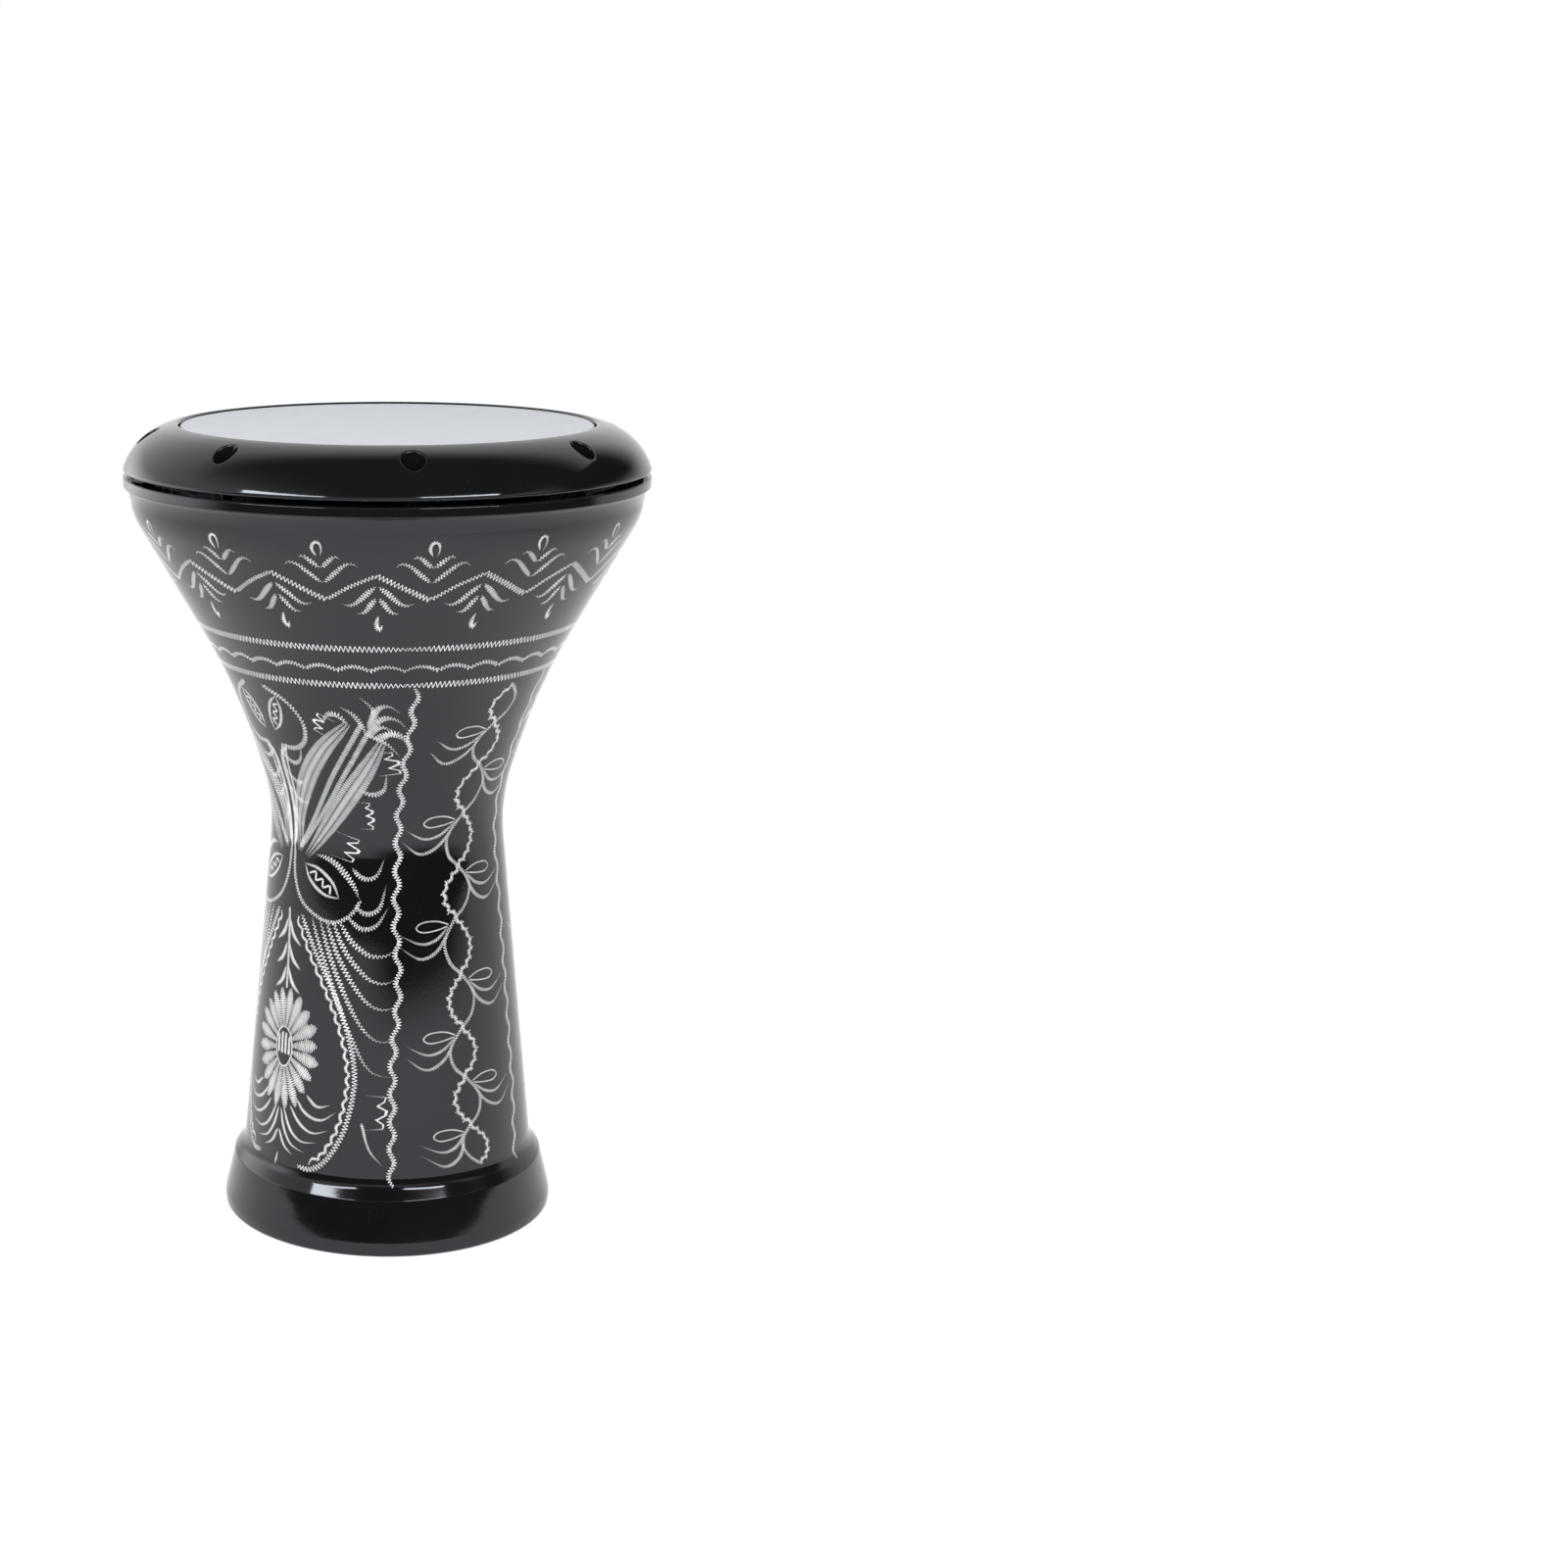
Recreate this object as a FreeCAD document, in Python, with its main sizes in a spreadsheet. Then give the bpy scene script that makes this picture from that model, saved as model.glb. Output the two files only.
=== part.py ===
# Goblet drum (darbuka) with a cast shell, a clamped film head and a bolted tuning ring.
#
# Frame: +Z is up and is the drum's axis. The origin is the centre of the foot rim, on the floor.
# Front is -Y, where the first tuning bolt stands. Lengths are in millimetres.

import FreeCAD, Part
import math
import os
import Sketcher

# Driving dimensions: alias, value, meaning.
DIMENSIONS = [
    ("head_height", 433.5, "floor to playing surface"),
    ("head_radius", 110.0, "opening of the tuning ring"),
    ("ring_clearance", 0.7, "film edge to ring, level"),
    ("film_thickness", 0.3, "film head"),
    ("film_bend", 1.2, "inner bend of the film over its collar"),
    ("collar_depth", 14.5, "playing surface down to the top of the flesh hoop"),
    ("hoop_height", 6.0, "flesh hoop channel, outside"),
    ("hoop_wall", 1.0, "flesh hoop sheet"),
    ("hoop_outreach", 4.7, "film collar out to the hoop's outside"),
    ("hoop_inreach", 1.7, "film collar in to the hoop's inside"),
    ("resin_depth", 3.5, "casting resin in the hoop"),
    ("bearing_clearance", 0.8, "hoop to the bearing wall"),
    ("bearing_wall", 3.5, "upright wall under the head"),
    ("ring_width", 29.4, "tuning ring, opening to outside"),
    ("ring_rise", 0.7, "ring's crest above the playing surface"),
    ("ring_depth", 23.0, "playing surface down to the ring's underside"),
    ("ring_crown", 33.5, "radius of the ring's rounded shoulder"),
    ("ring_inner_edge", 1.5, "rounding of the ring's opening"),
    ("ring_outer_edge", 1.0, "rounding of the ring's lower edge"),
    ("ring_wall", 4.0, "thickness of the hollow ring"),
    ("ring_lip_margin", 1.0, "ring lip past the flesh hoop"),
    ("bolt_count", 8, "tuning bolts"),
    ("bolt_inset", 15.6, "ring opening out to the bolt circle"),
    ("ring_boss_wall", 3.75, "metal around each key well in the ring"),
    ("well_clearance", 0.55, "washer to the key well over it, radial"),
    ("seat_thickness", 2.5, "ring metal under each washer"),
    ("bolt_hole_clearance", 0.4, "bolt to its holes in the ring and the shell, radial"),
    ("washer_margin", 0.7, "washer past the socket head"),
    ("washer_clearance", 0.25, "bolt to washer, radial"),
    ("washer_thickness", 1.2, "washer"),
    ("bolt_radius", 3.0, "bolt shank"),
    ("bolt_length", 30.0, "bolt, under its head"),
    ("bolt_tip", 0.8, "chamfer at the bolt's end"),
    ("bolt_head_overhang", 2.0, "socket head past the shank"),
    ("bolt_head_height", 6.0, "socket head"),
    ("bolt_head_edge", 0.6, "rounding of the socket head"),
    ("socket_width", 5.0, "hex socket across its flats"),
    ("socket_depth", 3.2, "hex socket"),
    ("thread_clearance", 0.05, "bolt to insert, radial"),
    ("insert_wall", 1.75, "thread insert"),
    ("insert_length", 16.0, "thread insert"),
    ("insert_fit", 0.05, "lug to insert, radial"),
    ("insert_groove", 0.5, "depth of the insert's anchoring groove"),
    ("lug_wall", 3.2, "lug around each insert"),
    ("lug_depth", 24.0, "deck's underside down to the lug's end"),
    ("ring_gap", 3.0, "ring's underside to the shell's lip"),
    ("lip_overhang", 0.1, "shell's lip past the ring"),
    ("lip_height", 5.0, "upright face of the lip"),
    ("lip_undercut", 2.7, "lip out past the bowl"),
    ("lip_slope", 1.7, "height of the lip's sloping underside"),
    ("lip_edge", 0.8, "rounding of the lip"),
    ("deck_thickness", 4.0, "deck under the ring"),
    ("wall", 3.5, "shell wall, measured level"),
    ("shoulder_depth", 46.2, "playing surface down to the bowl's shoulder corner"),
    ("shoulder_inset", 4.9, "shoulder corner inside the lip"),
    ("shoulder_blend", 34.0, "rounding of the bowl's shoulder"),
    ("flare_depth", 137.7, "playing surface down to the bowl's lower corner"),
    ("flare_outset", 20.4, "bowl's lower corner outside the waist corner"),
    ("flare_blend", 325.0, "rounding of the bowl's lower flare"),
    ("waist_depth", 202.6, "playing surface down to the waist corner"),
    ("waist_radius", 61.6, "waist corner, before it is rounded"),
    ("waist_blend", 104.0, "rounding of the waist"),
    ("skirt_radius", 79.6, "corner where the skirt meets the foot"),
    ("skirt_height", 37.2, "floor to the same corner"),
    ("skirt_blend", 14.0, "rounding of the same corner"),
    ("ridge_radius", 85.3, "foot at its upper ridge"),
    ("ridge_height", 29.5, "floor to the foot's ridge"),
    ("ridge_blend", 2.0, "rounding of the foot's ridge"),
    ("foot_radius", 90.9, "foot at the floor, before its edge is rounded"),
    ("foot_edge", 2.5, "rounding of the foot's edge"),
    ("mouth_radius", 82.0, "bore of the open lower end"),
    ("mouth_length", 20.0, "straight part of that bore"),
    ("mouth_blend", 14.0, "rounding where the foot's inside meets the skirt"),
    ("core_corner", 3.0, "rounding inside the bowl, under the deck"),
]

OVERSHOOT = 2.0  # how far a cutting shape runs past the face it opens


def fill_sheet(doc):
    """The spreadsheet that every size is read from."""
    sheet = doc.addObject("Spreadsheet::Sheet", "dims")
    for row, (alias, value, meaning) in enumerate(DIMENSIONS, start=1):
        sheet.set(f"A{row}", meaning)
        sheet.set(f"B{row}", str(value))
        sheet.setAlias(f"B{row}", alias)
    doc.recompute()
    return sheet


doc = FreeCAD.newDocument("darbuka")
dims = fill_sheet(doc)

# Sizes that follow from the driving dimensions, as expressions on the sheet.
FILM_RADIUS = "(dims.head_radius - dims.ring_clearance)"
FILM_UNDERSIDE = "(dims.head_height - dims.film_thickness)"
HOOP_TOP = "(dims.head_height - dims.collar_depth)"
HOOP_BOTTOM = f"({HOOP_TOP} - dims.hoop_height)"
HOOP_OUTER = f"({FILM_RADIUS} + dims.hoop_outreach)"
HOOP_INNER = f"({FILM_RADIUS} - dims.hoop_inreach)"
BEARING_OUTER = f"({HOOP_INNER} - dims.bearing_clearance)"
BEARING_INNER = f"({BEARING_OUTER} - dims.bearing_wall)"
BEARING_ROUND = "(dims.bearing_wall * 0.48)"
RING_OUTER = "(dims.head_radius + dims.ring_width)"
RING_CREST = "(dims.head_height + dims.ring_rise)"
RING_BOTTOM = "(dims.head_height - dims.ring_depth)"
RING_LIP_OUTER = f"({HOOP_OUTER} + dims.ring_lip_margin)"
BOLT_CIRCLE = "(dims.head_radius + dims.bolt_inset)"
WASHER_SEAT = f"({RING_BOTTOM} + dims.seat_thickness)"
BOLT_SEAT = f"({WASHER_SEAT} + dims.washer_thickness)"
BOLT_HOLE = "(dims.bolt_radius + dims.bolt_hole_clearance)"
BOLT_HEAD_RADIUS = "(dims.bolt_radius + dims.bolt_head_overhang)"
WASHER_HOLE = "(dims.bolt_radius + dims.washer_clearance)"
WASHER_RADIUS = f"({BOLT_HEAD_RADIUS} + dims.washer_margin)"
WELL_RADIUS = f"({WASHER_RADIUS} + dims.well_clearance)"
INSERT_BORE = "(dims.bolt_radius + dims.thread_clearance)"
INSERT_RADIUS = f"({INSERT_BORE} + dims.insert_wall)"
LIP_TOP = f"({RING_BOTTOM} - dims.ring_gap)"
LIP_RADIUS = f"({RING_OUTER} + dims.lip_overhang)"
DECK_UNDERSIDE = f"({LIP_TOP} - dims.deck_thickness)"
WAIST_HEIGHT = "(dims.head_height - dims.waist_depth)"
FLARE_RADIUS = "(dims.waist_radius + dims.flare_outset)"
FLARE_HEIGHT = "(dims.head_height - dims.flare_depth)"
SHOULDER_RADIUS = f"({LIP_RADIUS} - dims.shoulder_inset)"
SHOULDER_HEIGHT = "(dims.head_height - dims.shoulder_depth)"
LIP_ROOT_RADIUS = f"({LIP_RADIUS} - dims.lip_undercut)"
LIP_ROOT_HEIGHT = f"({LIP_TOP} - dims.lip_height - dims.lip_slope)"


def size(expression):
    """The number that an expression on the sheet stands for now."""
    return float(dims.evalExpression(str(expression)))


def new_body(label):
    body = doc.addObject("PartDesign::Body", label)
    body.Label = label
    return body


def origin_feature(body, role):
    for feature in body.Origin.OriginFeatures:
        if feature.Role == role:
            return feature
    raise RuntimeError(f"{body.Label} has no {role}")


def new_sketch(body, name, plane, height=None):
    """A sketch on one of the body's own planes, raised along the plane's normal if asked."""
    sketch = body.newObject("Sketcher::SketchObject", name)
    sketch.AttachmentSupport = [(origin_feature(body, plane), "")]
    sketch.MapMode = "FlatFace"
    if height is not None:
        sketch.setExpression("AttachmentOffset.Base.z", str(height))
    return sketch


def bind(sketch, kind, geometry, value):
    """Adds one dimension to the sketch and ties it to an expression."""
    index = sketch.addConstraint(Sketcher.Constraint(kind, *geometry, size(value)))
    sketch.setExpression(f"Constraints[{index}]", str(value))


def pin(sketch, geometry, end, across, up):
    """Ties a point of the sketch to its distances from the origin."""
    for kind, value, axis in (("DistanceX", across, -2), ("DistanceY", up, -1)):
        if str(value) == "0":
            sketch.addConstraint(Sketcher.Constraint("PointOnObject", geometry, end, axis))
        else:
            bind(sketch, kind, (-1, 1, geometry, end), value)


def end_at(sketch, geometry, point):
    """Which end of an edge, 1 or 2, lies at a point."""
    first = sketch.getPoint(geometry, 1).distanceToPoint(point)
    second = sketch.getPoint(geometry, 2).distanceToPoint(point)
    return 1 if first < second else 2


class Corner:
    """A corner of a closed outline that runs counterclockwise.

    blend rounds the corner. bulge makes the edge that leaves it an arc of that radius, curving outward.
    """

    def __init__(self, across, up, blend=None, bulge=None):
        self.across = across
        self.up = up
        self.blend = blend
        self.bulge = bulge
        self.point = FreeCAD.Vector(size(across), size(up), 0)


def blend_ends(before, corner, after):
    """Where a corner's rounding starts and ends, and its middle point."""
    back = (before.point - corner.point).normalize()
    on = (after.point - corner.point).normalize()
    half = back.getAngle(on) / 2
    radius = size(corner.blend)
    reach = radius / math.tan(half)
    centre = corner.point + (back + on).normalize() * (radius / math.sin(half))
    middle = centre + (corner.point - centre).normalize() * radius
    return corner.point + back * reach, middle, corner.point + on * reach


def bulge_middle(start, end, radius):
    """The middle of an arc from start to end that curves to the right of its chord."""
    chord = end - start
    right = FreeCAD.Vector(chord.y, -chord.x, 0).normalize()
    half = chord.Length / 2
    return (start + end) * 0.5 + right * (radius - math.sqrt(radius**2 - half**2))


def draw_outline(sketch, corners):
    """Draws a closed outline, every corner tied to the sheet."""
    count = len(corners)
    ends = []
    for n, corner in enumerate(corners):
        if corner.blend is None:
            ends.append((corner.point, None, corner.point))
        else:
            ends.append(blend_ends(corners[n - 1], corner, corners[(n + 1) % count]))
    edges = []
    for n, corner in enumerate(corners):
        start = ends[n][2]
        end = ends[(n + 1) % count][0]
        if corner.bulge is None:
            edges.append(sketch.addGeometry(Part.LineSegment(start, end), False))
        else:
            middle = bulge_middle(start, end, size(corner.bulge))
            edges.append(sketch.addGeometry(Part.Arc(start, middle, end), False))
    for n, corner in enumerate(corners):
        arriving = edges[n - 1]
        leaving = edges[n]
        start, middle, end = ends[n]
        if middle is None:
            join = (arriving, end_at(sketch, arriving, start), leaving, end_at(sketch, leaving, end))
            sketch.addConstraint(Sketcher.Constraint("Coincident", *join))
            pin(sketch, leaving, join[3], corner.across, corner.up)
        else:
            round_corner(sketch, corner, ends[n], arriving, leaving)
        if corner.bulge is not None:
            bind(sketch, "Radius", (leaving,), corner.bulge)


def round_corner(sketch, corner, ends, arriving, leaving):
    """An arc tangent to the two edges that would meet at the corner."""
    start, middle, end = ends
    arc = sketch.addGeometry(Part.Arc(start, middle, end), False)
    for edge, point in ((arriving, start), (leaving, end)):
        join = (edge, end_at(sketch, edge, point), arc, end_at(sketch, arc, point))
        sketch.addConstraint(Sketcher.Constraint("Tangent", *join))
    bind(sketch, "Radius", (arc,), corner.blend)
    mark = sketch.addGeometry(Part.Point(corner.point), True)
    for edge in (arriving, leaving):
        sketch.addConstraint(Sketcher.Constraint("PointOnObject", mark, 1, edge))
    pin(sketch, mark, 1, corner.across, corner.up)


def revolve(body, corners):
    """Turns an outline once around the drum's axis."""
    sketch = new_sketch(body, f"{body.Label}_outline", "XZ_Plane")
    draw_outline(sketch, corners)
    turned = body.newObject("PartDesign::Revolution", f"{body.Label}_turned")
    turned.Profile = sketch
    turned.ReferenceAxis = (sketch, ["V_Axis"])
    turned.Angle = 360.0
    sketch.Visibility = False
    body.Tip = turned
    doc.recompute()
    return turned


def cut_round(body, name, radius, height, depth):
    """Cuts a round pocket down from a height at every bolt, the first at the front."""
    before = body.Shape.Volume
    sketch = new_sketch(body, f"{name}_circle", "XY_Plane", height)
    rim = Part.Circle(FreeCAD.Vector(0, -size(BOLT_CIRCLE), 0), FreeCAD.Vector(0, 0, 1), size(radius))
    sketch.addGeometry(rim, False)
    sketch.addConstraint(Sketcher.Constraint("PointOnObject", 0, 3, -2))
    bind(sketch, "DistanceY", (0, 3, -1, 1), BOLT_CIRCLE)
    bind(sketch, "Radius", (0,), radius)
    pocket = body.newObject("PartDesign::Pocket", name)
    pocket.Profile = sketch
    pocket.setExpression("Length", str(depth))
    sketch.Visibility = False
    pattern = body.newObject("PartDesign::PolarPattern", f"{name}_pattern")
    pattern.Originals = [pocket]
    pattern.Axis = (origin_feature(body, "Z_Axis"), [""])
    pattern.Angle = 360.0
    pattern.setExpression("Occurrences", "dims.bolt_count")
    body.Tip = pattern
    doc.recompute()
    if body.Shape.Volume >= before:
        raise RuntimeError(f"{name} cuts nothing")


def cast(label, outside, core):
    """A casting: the outside shape with its core taken out."""
    casting = doc.addObject("Part::Cut", label)
    casting.Label = label
    casting.Base = outside
    casting.Tool = core
    doc.recompute()
    return casting


def make_shell():
    """The goblet: bowl, waist, skirt and foot in one casting, with a lug under the deck at each bolt."""
    outside = new_body("shell_outside")
    revolve(outside, [
        Corner("0", "0"),
        Corner("dims.foot_radius", "0", blend="dims.foot_edge"),
        Corner("dims.ridge_radius", "dims.ridge_height", blend="dims.ridge_blend"),
        Corner("dims.skirt_radius", "dims.skirt_height", blend="dims.skirt_blend"),
        Corner("dims.waist_radius", WAIST_HEIGHT, blend="dims.waist_blend"),
        Corner(FLARE_RADIUS, FLARE_HEIGHT, blend="dims.flare_blend"),
        Corner(SHOULDER_RADIUS, SHOULDER_HEIGHT, blend="dims.shoulder_blend"),
        Corner(LIP_ROOT_RADIUS, LIP_ROOT_HEIGHT),
        Corner(LIP_RADIUS, f"{LIP_TOP} - dims.lip_height", blend="dims.lip_edge"),
        Corner(LIP_RADIUS, LIP_TOP, blend="dims.lip_edge"),
        Corner(BEARING_OUTER, LIP_TOP),
        Corner(BEARING_OUTER, FILM_UNDERSIDE, blend=BEARING_ROUND),
        Corner("0", FILM_UNDERSIDE),
    ])
    lug_hole_depth = "dims.deck_thickness + dims.lug_depth"
    cut_round(outside, "lug_hole", BOLT_HOLE, LIP_TOP, lug_hole_depth)
    cut_round(outside, "insert_seat", f"{INSERT_RADIUS} + dims.insert_fit", LIP_TOP, "dims.insert_length")

    core = new_body("shell_core")
    revolve(core, [
        Corner("0", -OVERSHOOT),
        Corner("dims.mouth_radius", -OVERSHOOT),
        Corner("dims.mouth_radius", "dims.mouth_length"),
        Corner("dims.skirt_radius - dims.wall", "dims.skirt_height", blend="dims.mouth_blend"),
        Corner("dims.waist_radius - dims.wall", WAIST_HEIGHT, blend="dims.waist_blend + dims.wall"),
        Corner(f"{FLARE_RADIUS} - dims.wall", FLARE_HEIGHT, blend="dims.flare_blend + dims.wall"),
        Corner(f"{SHOULDER_RADIUS} - dims.wall", SHOULDER_HEIGHT, blend="dims.shoulder_blend - dims.wall"),
        Corner(f"{LIP_ROOT_RADIUS} - dims.wall", DECK_UNDERSIDE, blend="dims.core_corner"),
        Corner(BEARING_INNER, DECK_UNDERSIDE),
        Corner(BEARING_INNER, FILM_UNDERSIDE, blend=BEARING_ROUND),
        Corner(f"{BEARING_INNER} + dims.bearing_wall / 2", FILM_UNDERSIDE),
        Corner(f"{BEARING_INNER} + dims.bearing_wall / 2", f"{FILM_UNDERSIDE} + {OVERSHOOT}"),
        Corner("0", f"{FILM_UNDERSIDE} + {OVERSHOOT}"),
    ])
    cut_round(core, "lug", f"{INSERT_RADIUS} + dims.lug_wall", DECK_UNDERSIDE, "dims.lug_depth")
    return cast("shell", outside, core)


def make_tuning_ring():
    """The hollow cast ring that the bolts pull down on the head."""
    outside = new_body("ring_outside")
    revolve(outside, [
        Corner("dims.head_radius", HOOP_TOP),
        Corner(RING_LIP_OUTER, HOOP_TOP),
        Corner(RING_LIP_OUTER, RING_BOTTOM),
        Corner(f"{RING_OUTER} - dims.ring_outer_edge", RING_BOTTOM, bulge="dims.ring_outer_edge"),
        Corner(RING_OUTER, f"{RING_BOTTOM} + dims.ring_outer_edge", bulge="dims.ring_crown"),
        Corner("dims.head_radius + dims.ring_inner_edge", RING_CREST, bulge="dims.ring_inner_edge"),
        Corner("dims.head_radius", f"{RING_CREST} - dims.ring_inner_edge"),
    ])
    well_depth = f"{RING_CREST} - {WASHER_SEAT}"
    cut_round(outside, "key_well", WELL_RADIUS, RING_CREST, well_depth)
    hole_depth = f"dims.seat_thickness + {OVERSHOOT}"
    cut_round(outside, "ring_hole", BOLT_HOLE, WASHER_SEAT, hole_depth)

    core = new_body("ring_core")
    core_outer = f"{RING_OUTER} - dims.ring_wall"
    revolve(core, [
        Corner(RING_LIP_OUTER, f"{RING_BOTTOM} - {OVERSHOOT}"),
        Corner(core_outer, f"{RING_BOTTOM} - {OVERSHOOT}"),
        Corner(core_outer, RING_BOTTOM, bulge="dims.ring_crown - dims.ring_wall"),
        Corner(RING_LIP_OUTER, f"{RING_CREST} - dims.ring_wall * 1.2"),
    ])
    boss_depth = f"{RING_CREST} - {RING_BOTTOM} + {OVERSHOOT}"
    cut_round(core, "ring_boss", f"{WELL_RADIUS} + dims.ring_boss_wall", RING_CREST, boss_depth)
    return cast("tuning_ring", outside, core)


def make_head():
    """The film head: film, flesh hoop and the resin that holds the film in the hoop."""
    film = new_body("head_film")
    collar_inner = f"{FILM_RADIUS} - dims.film_thickness"
    collar_bottom = f"{HOOP_BOTTOM} + dims.hoop_wall"
    revolve(film, [
        Corner("0", FILM_UNDERSIDE),
        Corner(collar_inner, FILM_UNDERSIDE, blend="dims.film_bend"),
        Corner(collar_inner, collar_bottom),
        Corner(FILM_RADIUS, collar_bottom),
        Corner(FILM_RADIUS, "dims.head_height", blend="dims.film_bend + dims.film_thickness"),
        Corner("0", "dims.head_height"),
    ])
    hoop = new_body("head_hoop")
    revolve(hoop, [
        Corner(HOOP_INNER, HOOP_BOTTOM),
        Corner(HOOP_OUTER, HOOP_BOTTOM),
        Corner(HOOP_OUTER, HOOP_TOP),
        Corner(f"{HOOP_OUTER} - dims.hoop_wall", HOOP_TOP),
        Corner(f"{HOOP_OUTER} - dims.hoop_wall", collar_bottom),
        Corner(f"{HOOP_INNER} + dims.hoop_wall", collar_bottom),
        Corner(f"{HOOP_INNER} + dims.hoop_wall", HOOP_TOP),
        Corner(HOOP_INNER, HOOP_TOP),
    ])
    resin = new_body("head_resin")
    revolve(resin, [
        Corner(FILM_RADIUS, collar_bottom),
        Corner(f"{HOOP_OUTER} - dims.hoop_wall", collar_bottom),
        Corner(f"{HOOP_OUTER} - dims.hoop_wall", f"{collar_bottom} + dims.resin_depth"),
        Corner(FILM_RADIUS, f"{collar_bottom} + dims.resin_depth"),
    ])
    return [film, hoop, resin]


def place_at_bolt(body, number, height):
    """Stands a piece that is drawn on its own axis at one of the bolts, counted around from -Y."""
    turn = f"360 deg * {number - 1} / dims.bolt_count"
    body.setExpression("Placement.Base.x", f"{BOLT_CIRCLE} * sin({turn})")
    body.setExpression("Placement.Base.y", f"-{BOLT_CIRCLE} * cos({turn})")
    body.setExpression("Placement.Base.z", height)


def draw_hexagon(sketch, radius):
    """A regular hexagon around the sketch's origin, its corners on a circle of the given radius."""
    length = size(radius)
    corners = []
    for n in range(6):
        turn = math.radians(60 * n)
        corners.append(FreeCAD.Vector(length * math.cos(turn), length * math.sin(turn), 0))
    for n in range(6):
        sketch.addGeometry(Part.LineSegment(corners[n], corners[(n + 1) % 6]), False)
    circle = Part.Circle(FreeCAD.Vector(0, 0, 0), FreeCAD.Vector(0, 0, 1), length)
    guide = sketch.addGeometry(circle, True)
    sketch.addConstraint(Sketcher.Constraint("Coincident", guide, 3, -1, 1))
    bind(sketch, "Radius", (guide,), radius)
    for n in range(6):
        sketch.addConstraint(Sketcher.Constraint("Coincident", n, 2, (n + 1) % 6, 1))
        sketch.addConstraint(Sketcher.Constraint("PointOnObject", n, 1, guide))
    for n in range(5):
        sketch.addConstraint(Sketcher.Constraint("Equal", n, n + 1))
    sketch.addConstraint(Sketcher.Constraint("PointOnObject", 0, 1, -1))


def make_bolt(number):
    """A socket-head tuning bolt, drawn upward from its tip."""
    bolt = new_body(f"tuning_bolt_{number}")
    head_top = "dims.bolt_length + dims.bolt_head_height"
    revolve(bolt, [
        Corner("0", "0"),
        Corner("dims.bolt_radius - dims.bolt_tip", "0"),
        Corner("dims.bolt_radius", "dims.bolt_tip"),
        Corner("dims.bolt_radius", "dims.bolt_length"),
        Corner(BOLT_HEAD_RADIUS, "dims.bolt_length"),
        Corner(BOLT_HEAD_RADIUS, head_top, blend="dims.bolt_head_edge"),
        Corner("0", head_top),
    ])
    before = bolt.Shape.Volume
    sketch = new_sketch(bolt, f"{bolt.Label}_hexagon", "XY_Plane", head_top)
    draw_hexagon(sketch, "dims.socket_width / sqrt(3)")
    socket = bolt.newObject("PartDesign::Pocket", f"{bolt.Label}_socket")
    socket.Profile = sketch
    socket.setExpression("Length", "dims.socket_depth")
    sketch.Visibility = False
    bolt.Tip = socket
    doc.recompute()
    if bolt.Shape.Volume >= before:
        raise RuntimeError("the hex socket cuts nothing")
    place_at_bolt(bolt, number, f"{BOLT_SEAT} - dims.bolt_length")
    return bolt


def make_washer(number):
    """The washer between a bolt's head and the ring."""
    washer = new_body(f"washer_{number}")
    revolve(washer, [
        Corner(WASHER_HOLE, "0"),
        Corner(WASHER_RADIUS, "0"),
        Corner(WASHER_RADIUS, "dims.washer_thickness"),
        Corner(WASHER_HOLE, "dims.washer_thickness"),
    ])
    place_at_bolt(washer, number, WASHER_SEAT)
    return washer


def make_insert(number):
    """The steel thread insert cast into a lug, with a groove that anchors it."""
    insert = new_body(f"thread_insert_{number}")
    revolve(insert, [
        Corner(INSERT_BORE, "0"),
        Corner(INSERT_RADIUS, "0"),
        Corner(INSERT_RADIUS, "dims.insert_length * 0.4"),
        Corner(f"{INSERT_RADIUS} - dims.insert_groove", "dims.insert_length * 0.5"),
        Corner(INSERT_RADIUS, "dims.insert_length * 0.6"),
        Corner(INSERT_RADIUS, "dims.insert_length"),
        Corner(INSERT_BORE, "dims.insert_length"),
    ])
    place_at_bolt(insert, number, f"{LIP_TOP} - dims.insert_length")
    return insert


def check_document():
    """Stops if any object of the document failed to build."""
    for thing in doc.Objects:
        if {"Invalid", "Error"} & set(thing.State):
            raise RuntimeError(f"{thing.Label} failed: {thing.State}")


def write_piece(piece):
    """Writes one piece as a STEP file named after it."""
    if piece.Shape.isNull() or not piece.Shape.isValid():
        raise RuntimeError(f"{piece.Label} has no valid shape")
    piece.Shape.exportStep(f"parts/{piece.Label}.step")


pieces = [make_shell(), make_tuning_ring()]
pieces += make_head()
for number in range(1, int(size("dims.bolt_count")) + 1):
    pieces.append(make_bolt(number))
    pieces.append(make_washer(number))
    pieces.append(make_insert(number))

doc.recompute()
check_document()
os.makedirs("parts", exist_ok=True)
for piece in pieces:
    write_piece(piece)
    print(piece.Label, round(piece.Shape.Volume), piece.Shape.BoundBox)
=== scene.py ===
"""Looks of the goblet drum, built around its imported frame.

Lengths in the tables below are millimetres and angles are degrees. Angles run from the front (-Y)
toward +X. Everything that reaches Blender is in metres, in the frame's own coordinates.
"""

import math
import random

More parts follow.
